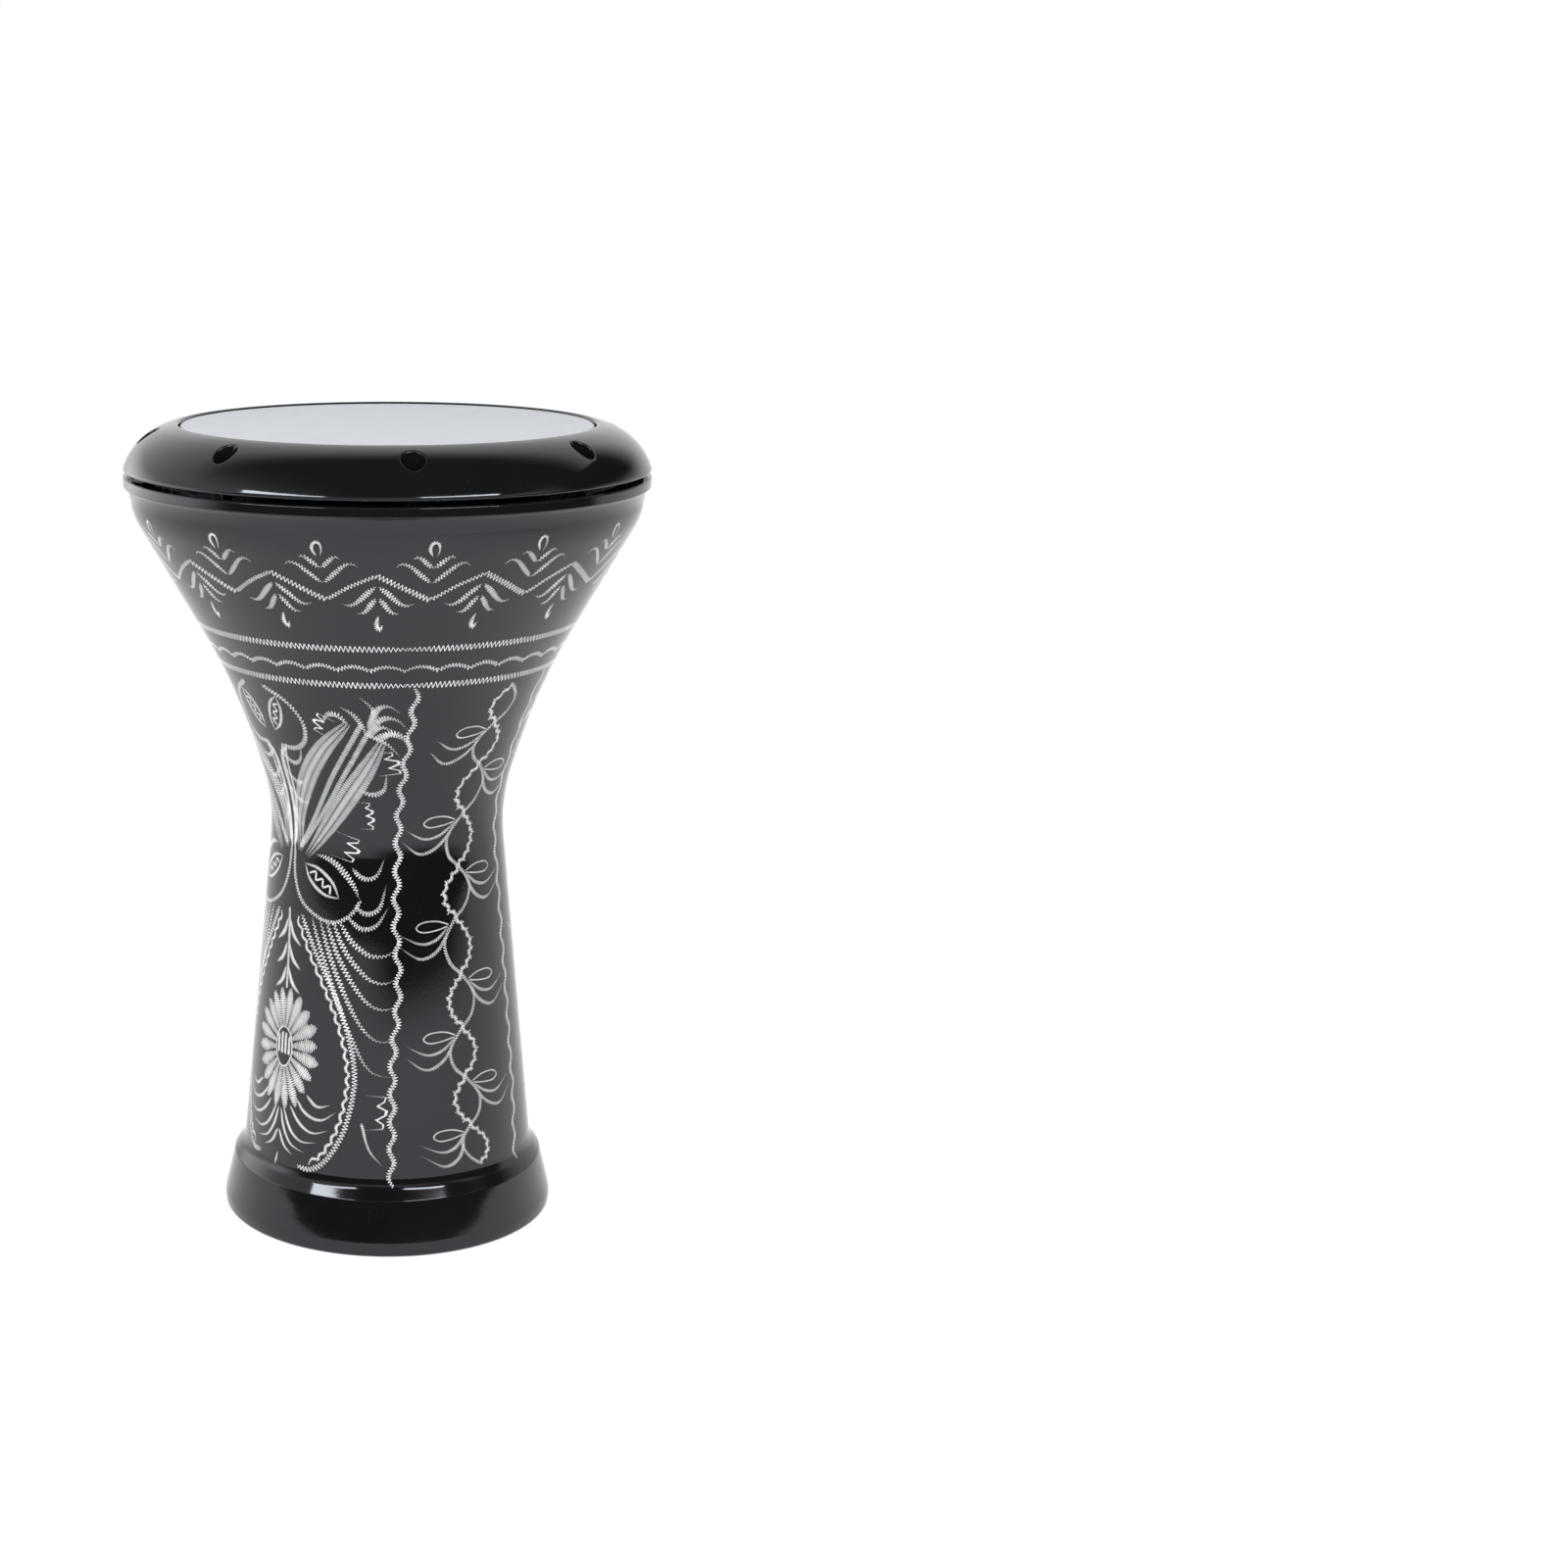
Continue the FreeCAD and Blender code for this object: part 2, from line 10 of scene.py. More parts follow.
import bmesh
import bpy
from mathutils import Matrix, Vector


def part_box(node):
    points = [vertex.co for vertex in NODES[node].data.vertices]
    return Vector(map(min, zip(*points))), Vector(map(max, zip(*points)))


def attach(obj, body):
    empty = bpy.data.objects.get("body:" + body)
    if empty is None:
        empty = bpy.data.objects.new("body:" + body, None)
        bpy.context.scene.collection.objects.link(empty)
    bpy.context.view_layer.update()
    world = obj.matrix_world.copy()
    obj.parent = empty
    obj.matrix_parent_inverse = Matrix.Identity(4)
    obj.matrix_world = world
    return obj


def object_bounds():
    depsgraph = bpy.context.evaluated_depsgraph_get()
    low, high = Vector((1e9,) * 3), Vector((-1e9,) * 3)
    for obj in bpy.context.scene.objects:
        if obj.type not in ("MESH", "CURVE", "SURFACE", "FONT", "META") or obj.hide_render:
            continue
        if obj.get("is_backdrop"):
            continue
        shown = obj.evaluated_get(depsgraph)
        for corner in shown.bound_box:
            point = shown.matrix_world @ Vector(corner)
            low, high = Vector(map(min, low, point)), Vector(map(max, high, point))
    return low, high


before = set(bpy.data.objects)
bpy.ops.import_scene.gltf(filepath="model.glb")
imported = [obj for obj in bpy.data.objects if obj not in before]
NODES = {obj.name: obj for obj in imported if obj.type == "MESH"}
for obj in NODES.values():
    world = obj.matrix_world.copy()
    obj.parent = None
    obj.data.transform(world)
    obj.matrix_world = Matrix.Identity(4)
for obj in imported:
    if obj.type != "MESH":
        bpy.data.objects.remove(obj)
cad_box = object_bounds()
scene = bpy.context.scene
MM = 0.001

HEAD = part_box("head_film")[1][2] / MM            # height of the playing surface

BOLTS = 8
BOLT_CIRCLE = 125.6                              # radius of the circle of bolts
WELL = 6.25                                      # radius of a key well
WELL_FLOOR = 414.0
RING_OUTER = 139.4                               # radii and heights of the tuning ring
RING_INNER = 110.0
RING_TOP = 434.2
RING_BOTTOM = 410.5
BROW = 1.5                                       # rounding at the top of the ring's opening
HEM = 1.0                                        # rounding at the ring's lower edge
CROWN = 33.5                                     # rounding of the ring's shoulder

COAT = 0.15                                      # the enamel stands this far off the casting
COAT_BACK = 0.05                                 # and the shell's reaches this far into it
COAT_AROUND = 288                                # faces round the shell's coat
SECTOR_ACROSS = 48                               # faces round the ring's coat for each bolt
ROLL = 0.9                                       # the enamel's soft rim at a key well
HEM_PART = 0.12                                  # share of the shoulder below the wells' patches


# ---------------------------------------------------------------- outlines

def rounded_outline(corners, step=3.0, chord=9.0):
    """Points along (radius, height, rounding) corners, walked up the outside."""
    pts = []
    count = len(corners)
    for n, (r, z, blend) in enumerate(corners):
        here = Vector((r, z))
        if n in (0, count - 1) or not blend:
            pts.append(here)
            continue
        back = (Vector(corners[n - 1][:2]) - here).normalized()
        on = (Vector(corners[n + 1][:2]) - here).normalized()
        half = back.angle(on) / 2
        centre = here + (back + on).normalized() * (blend / math.sin(half))
        first = here + back * (blend / math.tan(half)) - centre
        last = here + on * (blend / math.tan(half)) - centre
        turn = math.pi - 2 * half
        steps = max(4, math.ceil(max(math.degrees(turn) / step, turn * blend / chord)))
        side = 1 if first.x * last.y - first.y * last.x > 0 else -1
        for k in range(steps + 1):
            a = side * turn * k / steps
            pts.append(centre + Vector((first.x * math.cos(a) - first.y * math.sin(a),
                                        first.x * math.sin(a) + first.y * math.cos(a))))
    dense = [pts[0]]
    for p in pts[1:]:
        gap = (p - dense[-1]).length
        parts = max(1, math.ceil(gap / chord))
        start = dense[-1]
        if gap > 1e-4:
            dense.extend(start.lerp(p, (k + 1) / parts) for k in range(parts))
    return dense


def normals_of(pts):
    """Outward normals of an outline walked upward with the outside on its right."""
    out = []
    for n in range(len(pts)):
        run = pts[min(n + 1, len(pts) - 1)] - pts[max(n - 1, 0)]
        out.append(Vector((run.y, -run.x)).normalized())
    return out


# The shell's outside: foot, shoulder of the foot, waist, bowl and lip.
SHELL = rounded_outline([
    (88.6, 0.0, 0), (90.6, 0.0, 2.0), (91.0, 5.5, 18.0), (85.3, 29.5, 2.0), (79.6, 37.2, 14.0),
    (61.6, 230.9, 104.0), (82.0, 295.8, 325.0), (134.6, 387.3, 34.0), (136.8, 400.8, 0),
    (139.5, 402.5, 0.8), (139.5, 407.5, 0.8), (132.0, 407.5, 0)])
SHELL_NORMALS = normals_of(SHELL)


# ---------------------------------------------------------------- meshes

def add_mesh(name, verts, faces, body, material, smooth=True):
    """A mesh object from points in millimetres, riding on a CAD body."""
    mesh = bpy.data.meshes.new(name)
    mesh.from_pydata([(x * MM, y * MM, z * MM) for x, y, z in verts], [], faces)
    mesh.validate()
    mesh.update()
    if smooth:
        mesh.shade_smooth()
    piece = bpy.data.objects.new(name, mesh)
    scene.collection.objects.link(piece)
    mesh.materials.append(material)
    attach(piece, body)
    return piece


def lathe_skin(pts, norms, outward, inward, around):
    """A closed thin skin that follows an outline round the axis and stays off the floor."""
    outer = [p + n * outward for p, n in zip(pts, norms)]
    inner = [p - n * inward for p, n in zip(pts, norms)]
    loop = outer + inner[::-1]
    verts = []
    for s in range(around):
        a = math.tau * s / around
        verts.extend((p.x * math.sin(a), -p.x * math.cos(a), max(0.0, p.y)) for p in loop)
    faces = []
    size = len(loop)
    for s in range(around):
        t = (s + 1) % around
        for k in range(size):
            m = (k + 1) % size
            faces.append((s * size + k, t * size + k, t * size + m, s * size + m))
    return verts, faces


def mark_sharp(piece, degrees=35):
    """Splits the shading at edges that really are edges."""
    for o in bpy.context.selected_objects:
        o.select_set(False)
    piece.select_set(True)
    bpy.context.view_layer.objects.active = piece
    bpy.ops.object.shade_smooth_by_angle(angle=math.radians(degrees))
    piece.select_set(False)


# ---------------------------------------------------------------- materials

class Nodes:
    """A short way to write a node tree."""

    def __init__(self, name):
        self.material = bpy.data.materials.new(name)
        self.material.use_nodes = True
        self.tree = self.material.node_tree
        self.shader = self.tree.nodes["Principled BSDF"]
        self.place = self.tree.nodes.new("ShaderNodeTexCoord").outputs["Object"]

    def set(self, **values):
        for key, value in values.items():
            self.shader.inputs[key.replace("_", " ")].default_value = value

    def link(self, source, target):
        self.tree.links.new(source, target)

    def noise(self, scale, detail=3.0, rough=0.5, stretch=None):
        node = self.tree.nodes.new("ShaderNodeTexNoise")
        node.inputs["Scale"].default_value = scale
        node.inputs["Detail"].default_value = detail
        node.inputs["Roughness"].default_value = rough
        where = self.place
        if stretch:
            mapping = self.tree.nodes.new("ShaderNodeMapping")
            mapping.inputs["Scale"].default_value = stretch
            self.link(where, mapping.inputs["Vector"])
            where = mapping.outputs["Vector"]
        self.link(where, node.inputs["Vector"])
        return node.outputs["Fac"]

    def specks(self, scale, size):
        node = self.tree.nodes.new("ShaderNodeTexVoronoi")
        node.inputs["Scale"].default_value = scale
        self.link(self.place, node.inputs["Vector"])
        return self.ramp(node.outputs["Distance"], (size, 1.0), (size * 1.6, 0.0))

    def ramp(self, source, low, high):
        """Maps a value through two (position, result) stops."""
        node = self.tree.nodes.new("ShaderNodeMapRange")
        node.inputs["From Min"].default_value = low[0]
        node.inputs["From Max"].default_value = high[0]
        node.inputs["To Min"].default_value = low[1]
        node.inputs["To Max"].default_value = high[1]
        self.link(source, node.inputs["Value"])
        return node.outputs["Result"]

    def math(self, operation, a, b):
        node = self.tree.nodes.new("ShaderNodeMath")
        node.operation = operation
        for slot, value in enumerate((a, b)):
            if isinstance(value, (int, float)):
                node.inputs[slot].default_value = value
            else:
                self.link(value, node.inputs[slot])
        return node.outputs["Value"]

    def mix(self, factor, a, b):
        node = self.tree.nodes.new("ShaderNodeMix")
        node.data_type = "RGBA"
        self.link(factor, node.inputs["Factor"])
        for key, value in (("A", a), ("B", b)):
            sockets = [s for s in node.inputs if s.name == key and s.type == "RGBA"]
            if isinstance(value, tuple):
                sockets[0].default_value = (*value, 1.0)
            else:
                self.link(value, sockets[0])
        return [s for s in node.outputs if s.type == "RGBA"][0]

    def bump(self, height, distance, strength):
        node = self.tree.nodes.new("ShaderNodeBump")
        node.inputs["Distance"].default_value = distance
        node.inputs["Strength"].default_value = strength
        self.link(height, node.inputs["Height"])
        return node.outputs["Normal"]

    def part_of_place(self, axis):
        node = self.tree.nodes.new("ShaderNodeSeparateXYZ")
        self.link(self.place, node.inputs["Vector"])
        return node.outputs[axis]

    def from_axis(self):
        """Distance from the drum's axis, in metres."""
        squares = [self.math("MULTIPLY", part, part) for part in map(self.part_of_place, "XY")]
        return self.math("SQRT", self.math("ADD", *squares), 0.0)

    def attribute(self, name):
        node = self.tree.nodes.new("ShaderNodeAttribute")
        node.attribute_name = name
        return node.outputs["Fac"]


def enamel_looks(n, wear_and_highlight=None):
    """Sprayed black gloss: faint cloudiness, orange peel, dust specks, and bare metal from a mask that is
    partly real wear and partly painted highlight at the wells' rims and the ring's lower edge.
    """
    cloud = n.noise(9.0, 4.0)
    dust = n.math("MULTIPLY", n.specks(420.0, 0.045), n.ramp(n.noise(60.0), (0.52, 0.0), (0.62, 1.0)))
    black = n.mix(cloud, (0.004, 0.004, 0.0046), (0.010, 0.0103, 0.0115))
    dusty = n.mix(n.math("MULTIPLY", dust, 0.6), black, (0.16, 0.16, 0.165))
    rough = n.ramp(n.noise(38.0, 5.0, 0.6), (0.3, 0.03), (0.7, 0.08))
    smear = n.ramp(n.noise(6.0, 2.0), (0.35, 0.0), (0.75, 0.04))
    rough = n.math("ADD", rough, smear)
    peel = n.math("ADD", n.noise(520.0, 1.0), n.math("MULTIPLY", n.noise(150.0, 2.0), 1.6))
    n.link(n.bump(peel, 0.000012, 0.5), n.shader.inputs["Normal"])
    n.set(IOR=1.47, Specular_Tint=(0.86, 0.92, 1.0, 1.0))
    if wear_and_highlight is None:
        n.link(dusty, n.shader.inputs["Base Color"])
        n.link(rough, n.shader.inputs["Roughness"])
        return
    # The bare bright metal here is partly real wear and partly painted highlight: it brightens the wells'
    # rims and the ring's lower edge, where light catches them.
    ragged = n.math("ADD", wear_and_highlight, n.ramp(n.noise(240.0, 4.0, 0.7), (0.3, -0.45), (0.7, 0.45)))
    bare_and_highlight = n.ramp(ragged, (0.62, 0.0), (0.82, 1.0))
    n.link(n.mix(bare_and_highlight, dusty, (0.42, 0.42, 0.43)), n.shader.inputs["Base Color"])
    n.link(bare_and_highlight, n.shader.inputs["Metallic"])
    n.link(n.math("ADD", rough, n.math("MULTIPLY", bare_and_highlight, 0.25)), n.shader.inputs["Roughness"])


def make_enamel():
    n = Nodes("black_enamel")
    enamel_looks(n)
    return n.material


def make_ring_enamel():
    n = Nodes("black_enamel_ring")
    enamel_looks(n, n.attribute("wear_and_highlight"))
    return n.material


def make_casting(name, black_above=None):
    """Sand-grey cast aluminium, with overspray of black enamel where the outside was sprayed."""
    n = Nodes(name)
    grain = n.noise(700.0, 4.0, 0.65)
    patches = n.noise(24.0, 5.0, 0.6)
    metal = n.mix(patches, (0.30, 0.30, 0.305), (0.46, 0.46, 0.455))
    pits = n.specks(900.0, 0.12)
    metal = n.mix(n.math("MULTIPLY", pits, 0.5), metal, (0.12, 0.12, 0.125))
    rough = n.ramp(grain, (0.3, 0.42), (0.7, 0.62))
    bumps = n.math("SUBTRACT", n.math("ADD", grain, n.math("MULTIPLY", patches, 0.7)), pits)
    n.link(n.bump(bumps, 0.00012, 0.6), n.shader.inputs["Normal"])
    if black_above is None:
        n.link(metal, n.shader.inputs["Base Color"])
        n.link(rough, n.shader.inputs["Roughness"])
        n.set(Metallic=0.85)
        return n.material
    height, radius = black_above
    ragged = n.ramp(n.noise(90.0, 4.0), (0.3, -0.0008), (0.7, 0.0008))
    over = n.ramp(n.math("ADD", n.part_of_place("Z"), ragged), (height, 0.0), (height + 0.0006, 1.0))
    out = n.ramp(n.math("ADD", n.from_axis(), ragged), (radius, 0.0), (radius + 0.0006, 1.0))
    sprayed = n.math("MULTIPLY", over, out)
    n.link(n.mix(sprayed, metal, (0.012, 0.012, 0.013)), n.shader.inputs["Base Color"])
    n.link(n.math("SUBTRACT", 0.85, n.math("MULTIPLY", sprayed, 0.85)), n.shader.inputs["Metallic"])
    n.link(n.math("SUBTRACT", rough, n.math("MULTIPLY", sprayed, 0.35)), n.shader.inputs["Roughness"])
    return n.material


def make_film():
    """Matt milky polyester, with a faint mottle, rubbed playing area and fine fibres of dust."""
    n = Nodes("milky_film")
    mottle = n.noise(14.0, 5.0, 0.55)
    base = n.mix(mottle, (0.68, 0.72, 0.775), (0.735, 0.765, 0.815))
    rub = n.ramp(n.from_axis(), (0.03, 1.0), (0.10, 0.0))
    rub = n.math("MULTIPLY", rub, n.ramp(n.noise(45.0, 4.0, 0.65), (0.35, 0.0), (0.75, 0.6)))
    base = n.mix(rub, base, (0.73, 0.745, 0.765))
    dust = n.math("MULTIPLY", n.specks(260.0, 0.03), 0.35)
    n.link(n.mix(dust, base, (0.42, 0.43, 0.45)), n.shader.inputs["Base Color"])
    n.link(n.ramp(n.noise(80.0, 4.0), (0.3, 0.42), (0.7, 0.55)), n.shader.inputs["Roughness"])
    n.link(n.bump(n.noise(900.0, 2.0), 0.00002, 0.5), n.shader.inputs["Normal"])
    n.set(IOR=1.5)
    return n.material


def make_metal(name, dark, light, rough, turned=False):
    """Plain metal with a patchy finish, and tool marks round the axis where it is turned."""
    n = Nodes(name)
    patches = n.noise(130.0, 4.0, 0.6)
    n.link(n.mix(patches, dark, light), n.shader.inputs["Base Color"])
    marks = n.noise(2200.0, 2.0, 0.5, (0.02, 0.02, 1.0)) if turned else n.noise(1600.0, 3.0)
    n.link(n.ramp(marks, (0.3, rough), (0.7, rough + 0.14)), n.shader.inputs["Roughness"])
    n.link(n.bump(marks, 0.00003, 0.6), n.shader.inputs["Normal"])
    n.set(Metallic=1.0)
    return n.material


def make_resin():
    """Cast resin that holds the film in its hoop: amber, cloudy, with small bubbles."""
    n = Nodes("casting_resin")
    cloud = n.noise(60.0, 5.0, 0.6)
    bubbles = n.specks(700.0, 0.1)
    base = n.mix(cloud, (0.42, 0.30, 0.15), (0.56, 0.43, 0.25))
    n.link(n.mix(bubbles, base, (0.75, 0.68, 0.52)), n.shader.inputs["Base Color"])
    n.link(n.ramp(cloud, (0.3, 0.2), (0.7, 0.4)), n.shader.inputs["Roughness"])
    n.link(n.bump(bubbles, 0.00004, 0.6), n.shader.inputs["Normal"])
    return n.material


def make_cut():
    """The graver's bright cuts through the enamel: silver, a little uneven in depth and shine."""
    n = Nodes("bright_cut")
    depth = n.noise(300.0, 4.0, 0.65)
    n.link(n.mix(depth, (0.74, 0.74, 0.745), (0.95, 0.95, 0.95)), n.shader.inputs["Base Color"])
    n.link(n.ramp(n.noise(1500.0, 2.0), (0.3, 0.34), (0.7, 0.52)), n.shader.inputs["Roughness"])
    n.link(n.bump(n.noise(3000.0, 2.0, 0.5, (1.0, 1.0, 0.25)), 0.00003, 0.7), n.shader.inputs["Normal"])
    n.set(Metallic=0.4)
    return n.material


ENAMEL = make_enamel()
RING_ENAMEL = make_ring_enamel()
CUT = make_cut()


def finish_cad(name, material, degrees=35):
    """Gives a CAD node its material and splits its shading at its edges."""
    piece = NODES[name]
    if not piece.data.materials:
        piece.data.materials.append(material)
    for slot in piece.material_slots:
        slot.material = material
    mark_sharp(piece, degrees)


finish_cad("shell", make_casting("cast_aluminium", black_above=(0.4065, 0.1052)))
finish_cad("tuning_ring", make_casting("cast_aluminium_sprayed", black_above=(0.2, 0.0)))
finish_cad("head_film", make_film(), 60)
finish_cad("head_hoop", make_metal("rolled_aluminium", (0.55, 0.55, 0.56), (0.70, 0.70, 0.71), 0.28, True))
finish_cad("head_resin", make_resin())
BLACK_OXIDE = make_metal("black_oxide_steel", (0.035, 0.036, 0.04), (0.07, 0.07, 0.075), 0.26)
ZINC = make_metal("zinc_plate", (0.42, 0.43, 0.44), (0.60, 0.60, 0.58), 0.25)
INSERT = make_metal("turned_steel", (0.34, 0.33, 0.32), (0.48, 0.47, 0.46), 0.3, True)
for number in range(1, BOLTS + 1):
    finish_cad(f"tuning_bolt_{number}", BLACK_OXIDE)
    finish_cad(f"washer_{number}", ZINC)
    finish_cad(f"thread_insert_{number}", INSERT)


# ---------------------------------------------------------------- enamel coats

verts, faces = lathe_skin(SHELL, SHELL_NORMALS, COAT, COAT_BACK, COAT_AROUND)
shell_coat = add_mesh("shell_enamel", verts, faces, "shell", ENAMEL)
mark_sharp(shell_coat, 50)

CROWN_ENDS = ((RING_OUTER, RING_BOTTOM + HEM), (RING_INNER + BROW, RING_TOP))


def crown_centre():
    """Centre of the arc of the ring's rounded shoulder."""
    a, b = (Vector(p) for p in CROWN_ENDS)
    chord = b - a
    inward = Vector((-chord.y, chord.x)).normalized()
    half = chord.length / 2
    return (a + b) / 2 + inward * math.sqrt(CROWN**2 - half**2)


CROWN_CENTRE = crown_centre()
CROWN_FROM, CROWN_TO = (math.atan2(z - CROWN_CENTRE.y, r - CROWN_CENTRE.x) for r, z in CROWN_ENDS)


def crown_point(part):
    """Radius and height on the shoulder's coat: part 0 at the ring's outer edge, 1 at its opening."""
    a = CROWN_FROM + (CROWN_TO - CROWN_FROM) * part
    return (CROWN_CENTRE.x + (CROWN + COAT) * math.cos(a),
            CROWN_CENTRE.y + (CROWN + COAT) * math.sin(a))


def part_of_radius(r):
    """Inverse of crown_point's radius."""
    a = math.acos(max(-1.0, min(1.0, (r - CROWN_CENTRE.x) / (CROWN + COAT))))
    return (a - CROWN_FROM) / (CROWN_TO - CROWN_FROM)


def sector(bolt_angle, verts, wear_and_highlight, faces):
    """One bolt's share of the shoulder: columns of points from the wall of its key well, over the
    well's rolled rim and out to the sector's four sides, all on the shoulder's own surface."""
    across, up, rings, rolls = SECTOR_ACROSS, 16, 18, 6
    half = math.pi / BOLTS
    climb = 1.0 - HEM_PART
    border = [(-half + 2 * half * k / across, HEM_PART) for k in range(across)]
    border += [(half, HEM_PART + climb * k / up) for k in range(up)]
    border += [(half - 2 * half * k / across, 1.0) for k in range(across)]
    border += [(-half, 1.0 - climb * k / up) for k in range(up)]
    wall = WELL - COAT
    rim = wall + ROLL
    c, s = math.cos(bolt_angle), math.sin(bolt_angle)
    first = len(verts)
    for a, part in border:
        r, _ = crown_point(part)
        aim = Vector((r * math.sin(a), r * math.cos(a) - BOLT_CIRCLE)).normalized()
        edge = Vector((aim.x * rim, BOLT_CIRCLE + aim.y * rim))
        well = Vector((aim.x * wall, BOLT_CIRCLE + aim.y * wall))
        edge_a = math.atan2(edge.x, edge.y)
        edge_part = part_of_radius(edge.length)
        _, start = crown_point(edge_part)
        _, top = crown_point(part_of_radius(well.length))
        column = []
        for deep in (0.96, 0.6, 0.3, 0.1):
            column.append((well.x, well.y, top - ROLL - deep * (top - WELL_FLOOR), 0.0))
        for k in range(rolls, 0, -1):
            t = k / rolls
            flat = edge.lerp(well, 1 - (1 - t)**2)
            z = (1 - t)**2 * start + 2 * t * (1 - t) * top + t * t * (top - ROLL)
            # Painted highlight: the rolled rim of each well gets a touch of bare bright metal, partly wear
            # and partly standing in for the light that catches the rim.
            column.append((flat.x, flat.y, z, 0.25 if 1 < k < 5 else 0.0))
        for k in range(rings + 1):
            t = k / rings
            t = t * (0.35 + 0.65 * t)
            g = edge_a + (a - edge_a) * t
            r, z = crown_point(edge_part + (part - edge_part) * t)
            column.append((r * math.sin(g), r * math.cos(g), z, 0.0))
        for x, y, z, w in column:
            verts.append((x * c + y * s, -(y * c - x * s), z))
            wear_and_highlight.append(w)
    size = rings + 1 + rolls + 4
    for k in range(len(border)):
        m = (k + 1) % len(border)
        for j in range(size - 1):
            faces.append((first + k * size + j, first + m * size + j, first + m * size + j + 1,
                          first + k * size + j + 1))


def rounding(r, z, radius, first, last):
    """A coat's points round an edge, by the centre and radius of the edge and two angles."""
    turn = 9 if last > first else -9
    reach = radius + COAT
    return [(r + reach * math.cos(math.radians(a)), z + reach * math.sin(math.radians(a)))
            for a in range(first, last + turn, turn)]


def ring_skirt(verts, wear_and_highlight, faces):
    """The ring's opening wall with its rounded brow, and its lower edge down to the underside."""
    around = SECTOR_ACROSS * BOLTS
    brow = rounding(RING_INNER + BROW, RING_TOP - BROW, BROW, 90, 180)
    brow[0] = crown_point(1.0)
    inner = brow + [(RING_INNER - COAT, z) for z in (430.0, 426.0, 422.5, 419.2)]
    apron = [crown_point(HEM_PART * (1 - k / 4)) for k in range(4)]
    hem = rounding(RING_OUTER - HEM, RING_BOTTOM + HEM, HEM, 0, -90)
    hem[0] = crown_point(0.0)
    outer = apron + hem + [(r, RING_BOTTOM - COAT) for r in (137.0, 135.5)]
    # Painted highlight: the ring's lower edge gets a band of bare bright metal, partly wear and partly
    # standing in for the bright line that light draws along that rounded edge.
    hem_wear_and_highlight = {len(apron) + 4 + k: w for k, w in enumerate((0.3, 0.42, 0.5, 0.42, 0.3))}
    for strip, strip_wear_and_highlight in ((inner, {}), (outer, hem_wear_and_highlight)):
        first = len(verts)
        size = len(strip)
        for s in range(around):
            a = math.tau * (s - SECTOR_ACROSS // 2) / around
            for k, (r, z) in enumerate(strip):
                verts.append((r * math.sin(a), -r * math.cos(a), z))
                wear_and_highlight.append(strip_wear_and_highlight.get(k, 0.0))
        for s in range(around):
            t = (s + 1) % around
            for k in range(size - 1):
                quad = (first + s * size + k, first + t * size + k, first + t * size + k + 1,
                        first + s * size + k + 1)
                faces.append(quad if strip is outer else quad[::-1])


def make_ring_coat():
    """The ring's coat, its patches joined and given a little thickness inward."""
    verts, wear_and_highlight, faces = [], [], []
    for b in range(BOLTS):
        sector(math.tau * b / BOLTS, verts, wear_and_highlight, faces)
    ring_skirt(verts, wear_and_highlight, faces)
    piece = add_mesh("ring_enamel", verts, faces, "tuning_ring", RING_ENAMEL)
    layer = piece.data.attributes.new("wear_and_highlight", "FLOAT", "POINT")
    layer.data.foreach_set("value", wear_and_highlight)
    mesh = bmesh.new()
    mesh.from_mesh(piece.data)
    bmesh.ops.remove_doubles(mesh, verts=mesh.verts, dist=0.00002)
    bmesh.ops.recalc_face_normals(mesh, faces=mesh.faces)
    up = sum(1 if f.normal.z > 0 else -1 for f in mesh.faces if f.calc_center_median().z > 0.425)
    if up < 0:
        bmesh.ops.reverse_faces(mesh, faces=mesh.faces)
    mesh.to_mesh(piece.data)
    mesh.free()
    piece.data.shade_smooth()
    skin = piece.modifiers.new("skin", "SOLIDIFY")
    skin.thickness = 0.0002
    skin.offset = -1.0


make_ring_coat()


# ---------------------------------------------------------------- engraving

TABLE_FROM, TABLE_TO = 20, 403                   # heights between which the shell can be engraved
RIDGE = COAT + 0.08                              # a cut's middle, and its sides in the coat
ROOT = COAT - 0.04
PATH_STEP = 0.5
CURVE_STEP = 1.2
LONGEST_FACET = 2.6
STROKE = 0.6                                     # one stroke's share of a wriggle's pitch
LINE_HALF = 0.66                                 # half of a stroke's breadth, as a share of its line


def shell_table():
    """Radius and normal of the shell's outside for every millimetre of height."""
    rows = []
    for z in range(TABLE_FROM, TABLE_TO):
        for n in range(len(SHELL) - 1):
            a, b = SHELL[n], SHELL[n + 1]
            if a.y <= z <= b.y and b.y > a.y:
                t = (z - a.y) / (b.y - a.y)
                rows.append((a.x + (b.x - a.x) * t, SHELL_NORMALS[n].lerp(SHELL_NORMALS[n + 1], t)))
                break
    return rows


SHELL_ROWS = shell_table()


def shell_row(z):
    """Radius and normal of the shell's outside at a height."""
    place = max(0.0, min(len(SHELL_ROWS) - 1.001, z - TABLE_FROM))
    n = int(place)
    (ra, na), (rb, nb) = SHELL_ROWS[n], SHELL_ROWS[n + 1]
    return ra + (rb - ra) * (place - n), na.lerp(nb, place - n)


def on_shell(angle, z, off):
    """A point off the shell's surface, from its angle in radians and its height."""
    r, normal = shell_row(z)
    r += normal.x * off
    return (r * math.sin(angle), -r * math.cos(angle), z + normal.y * off)


def between(stops):
    """A value that follows (height, value) stops, smoothly."""
    stops = sorted(stops)

    def value(z):
        if z <= stops[0][0]:
            return stops[0][1]
        for (za, a), (zb, b) in zip(stops, stops[1:]):
            if z <= zb:
                t = (z - za) / (zb - za)
                return a + (b - a) * t * t * (3 - 2 * t)
        return stops[-1][1]
    return value


def panel(axis, side=1):
    """Places motif coordinates: millimetres to the right of an axis that leans, and height."""
    return lambda u, z: (math.radians(axis(z)) + side * u / shell_row(z)[0], z)


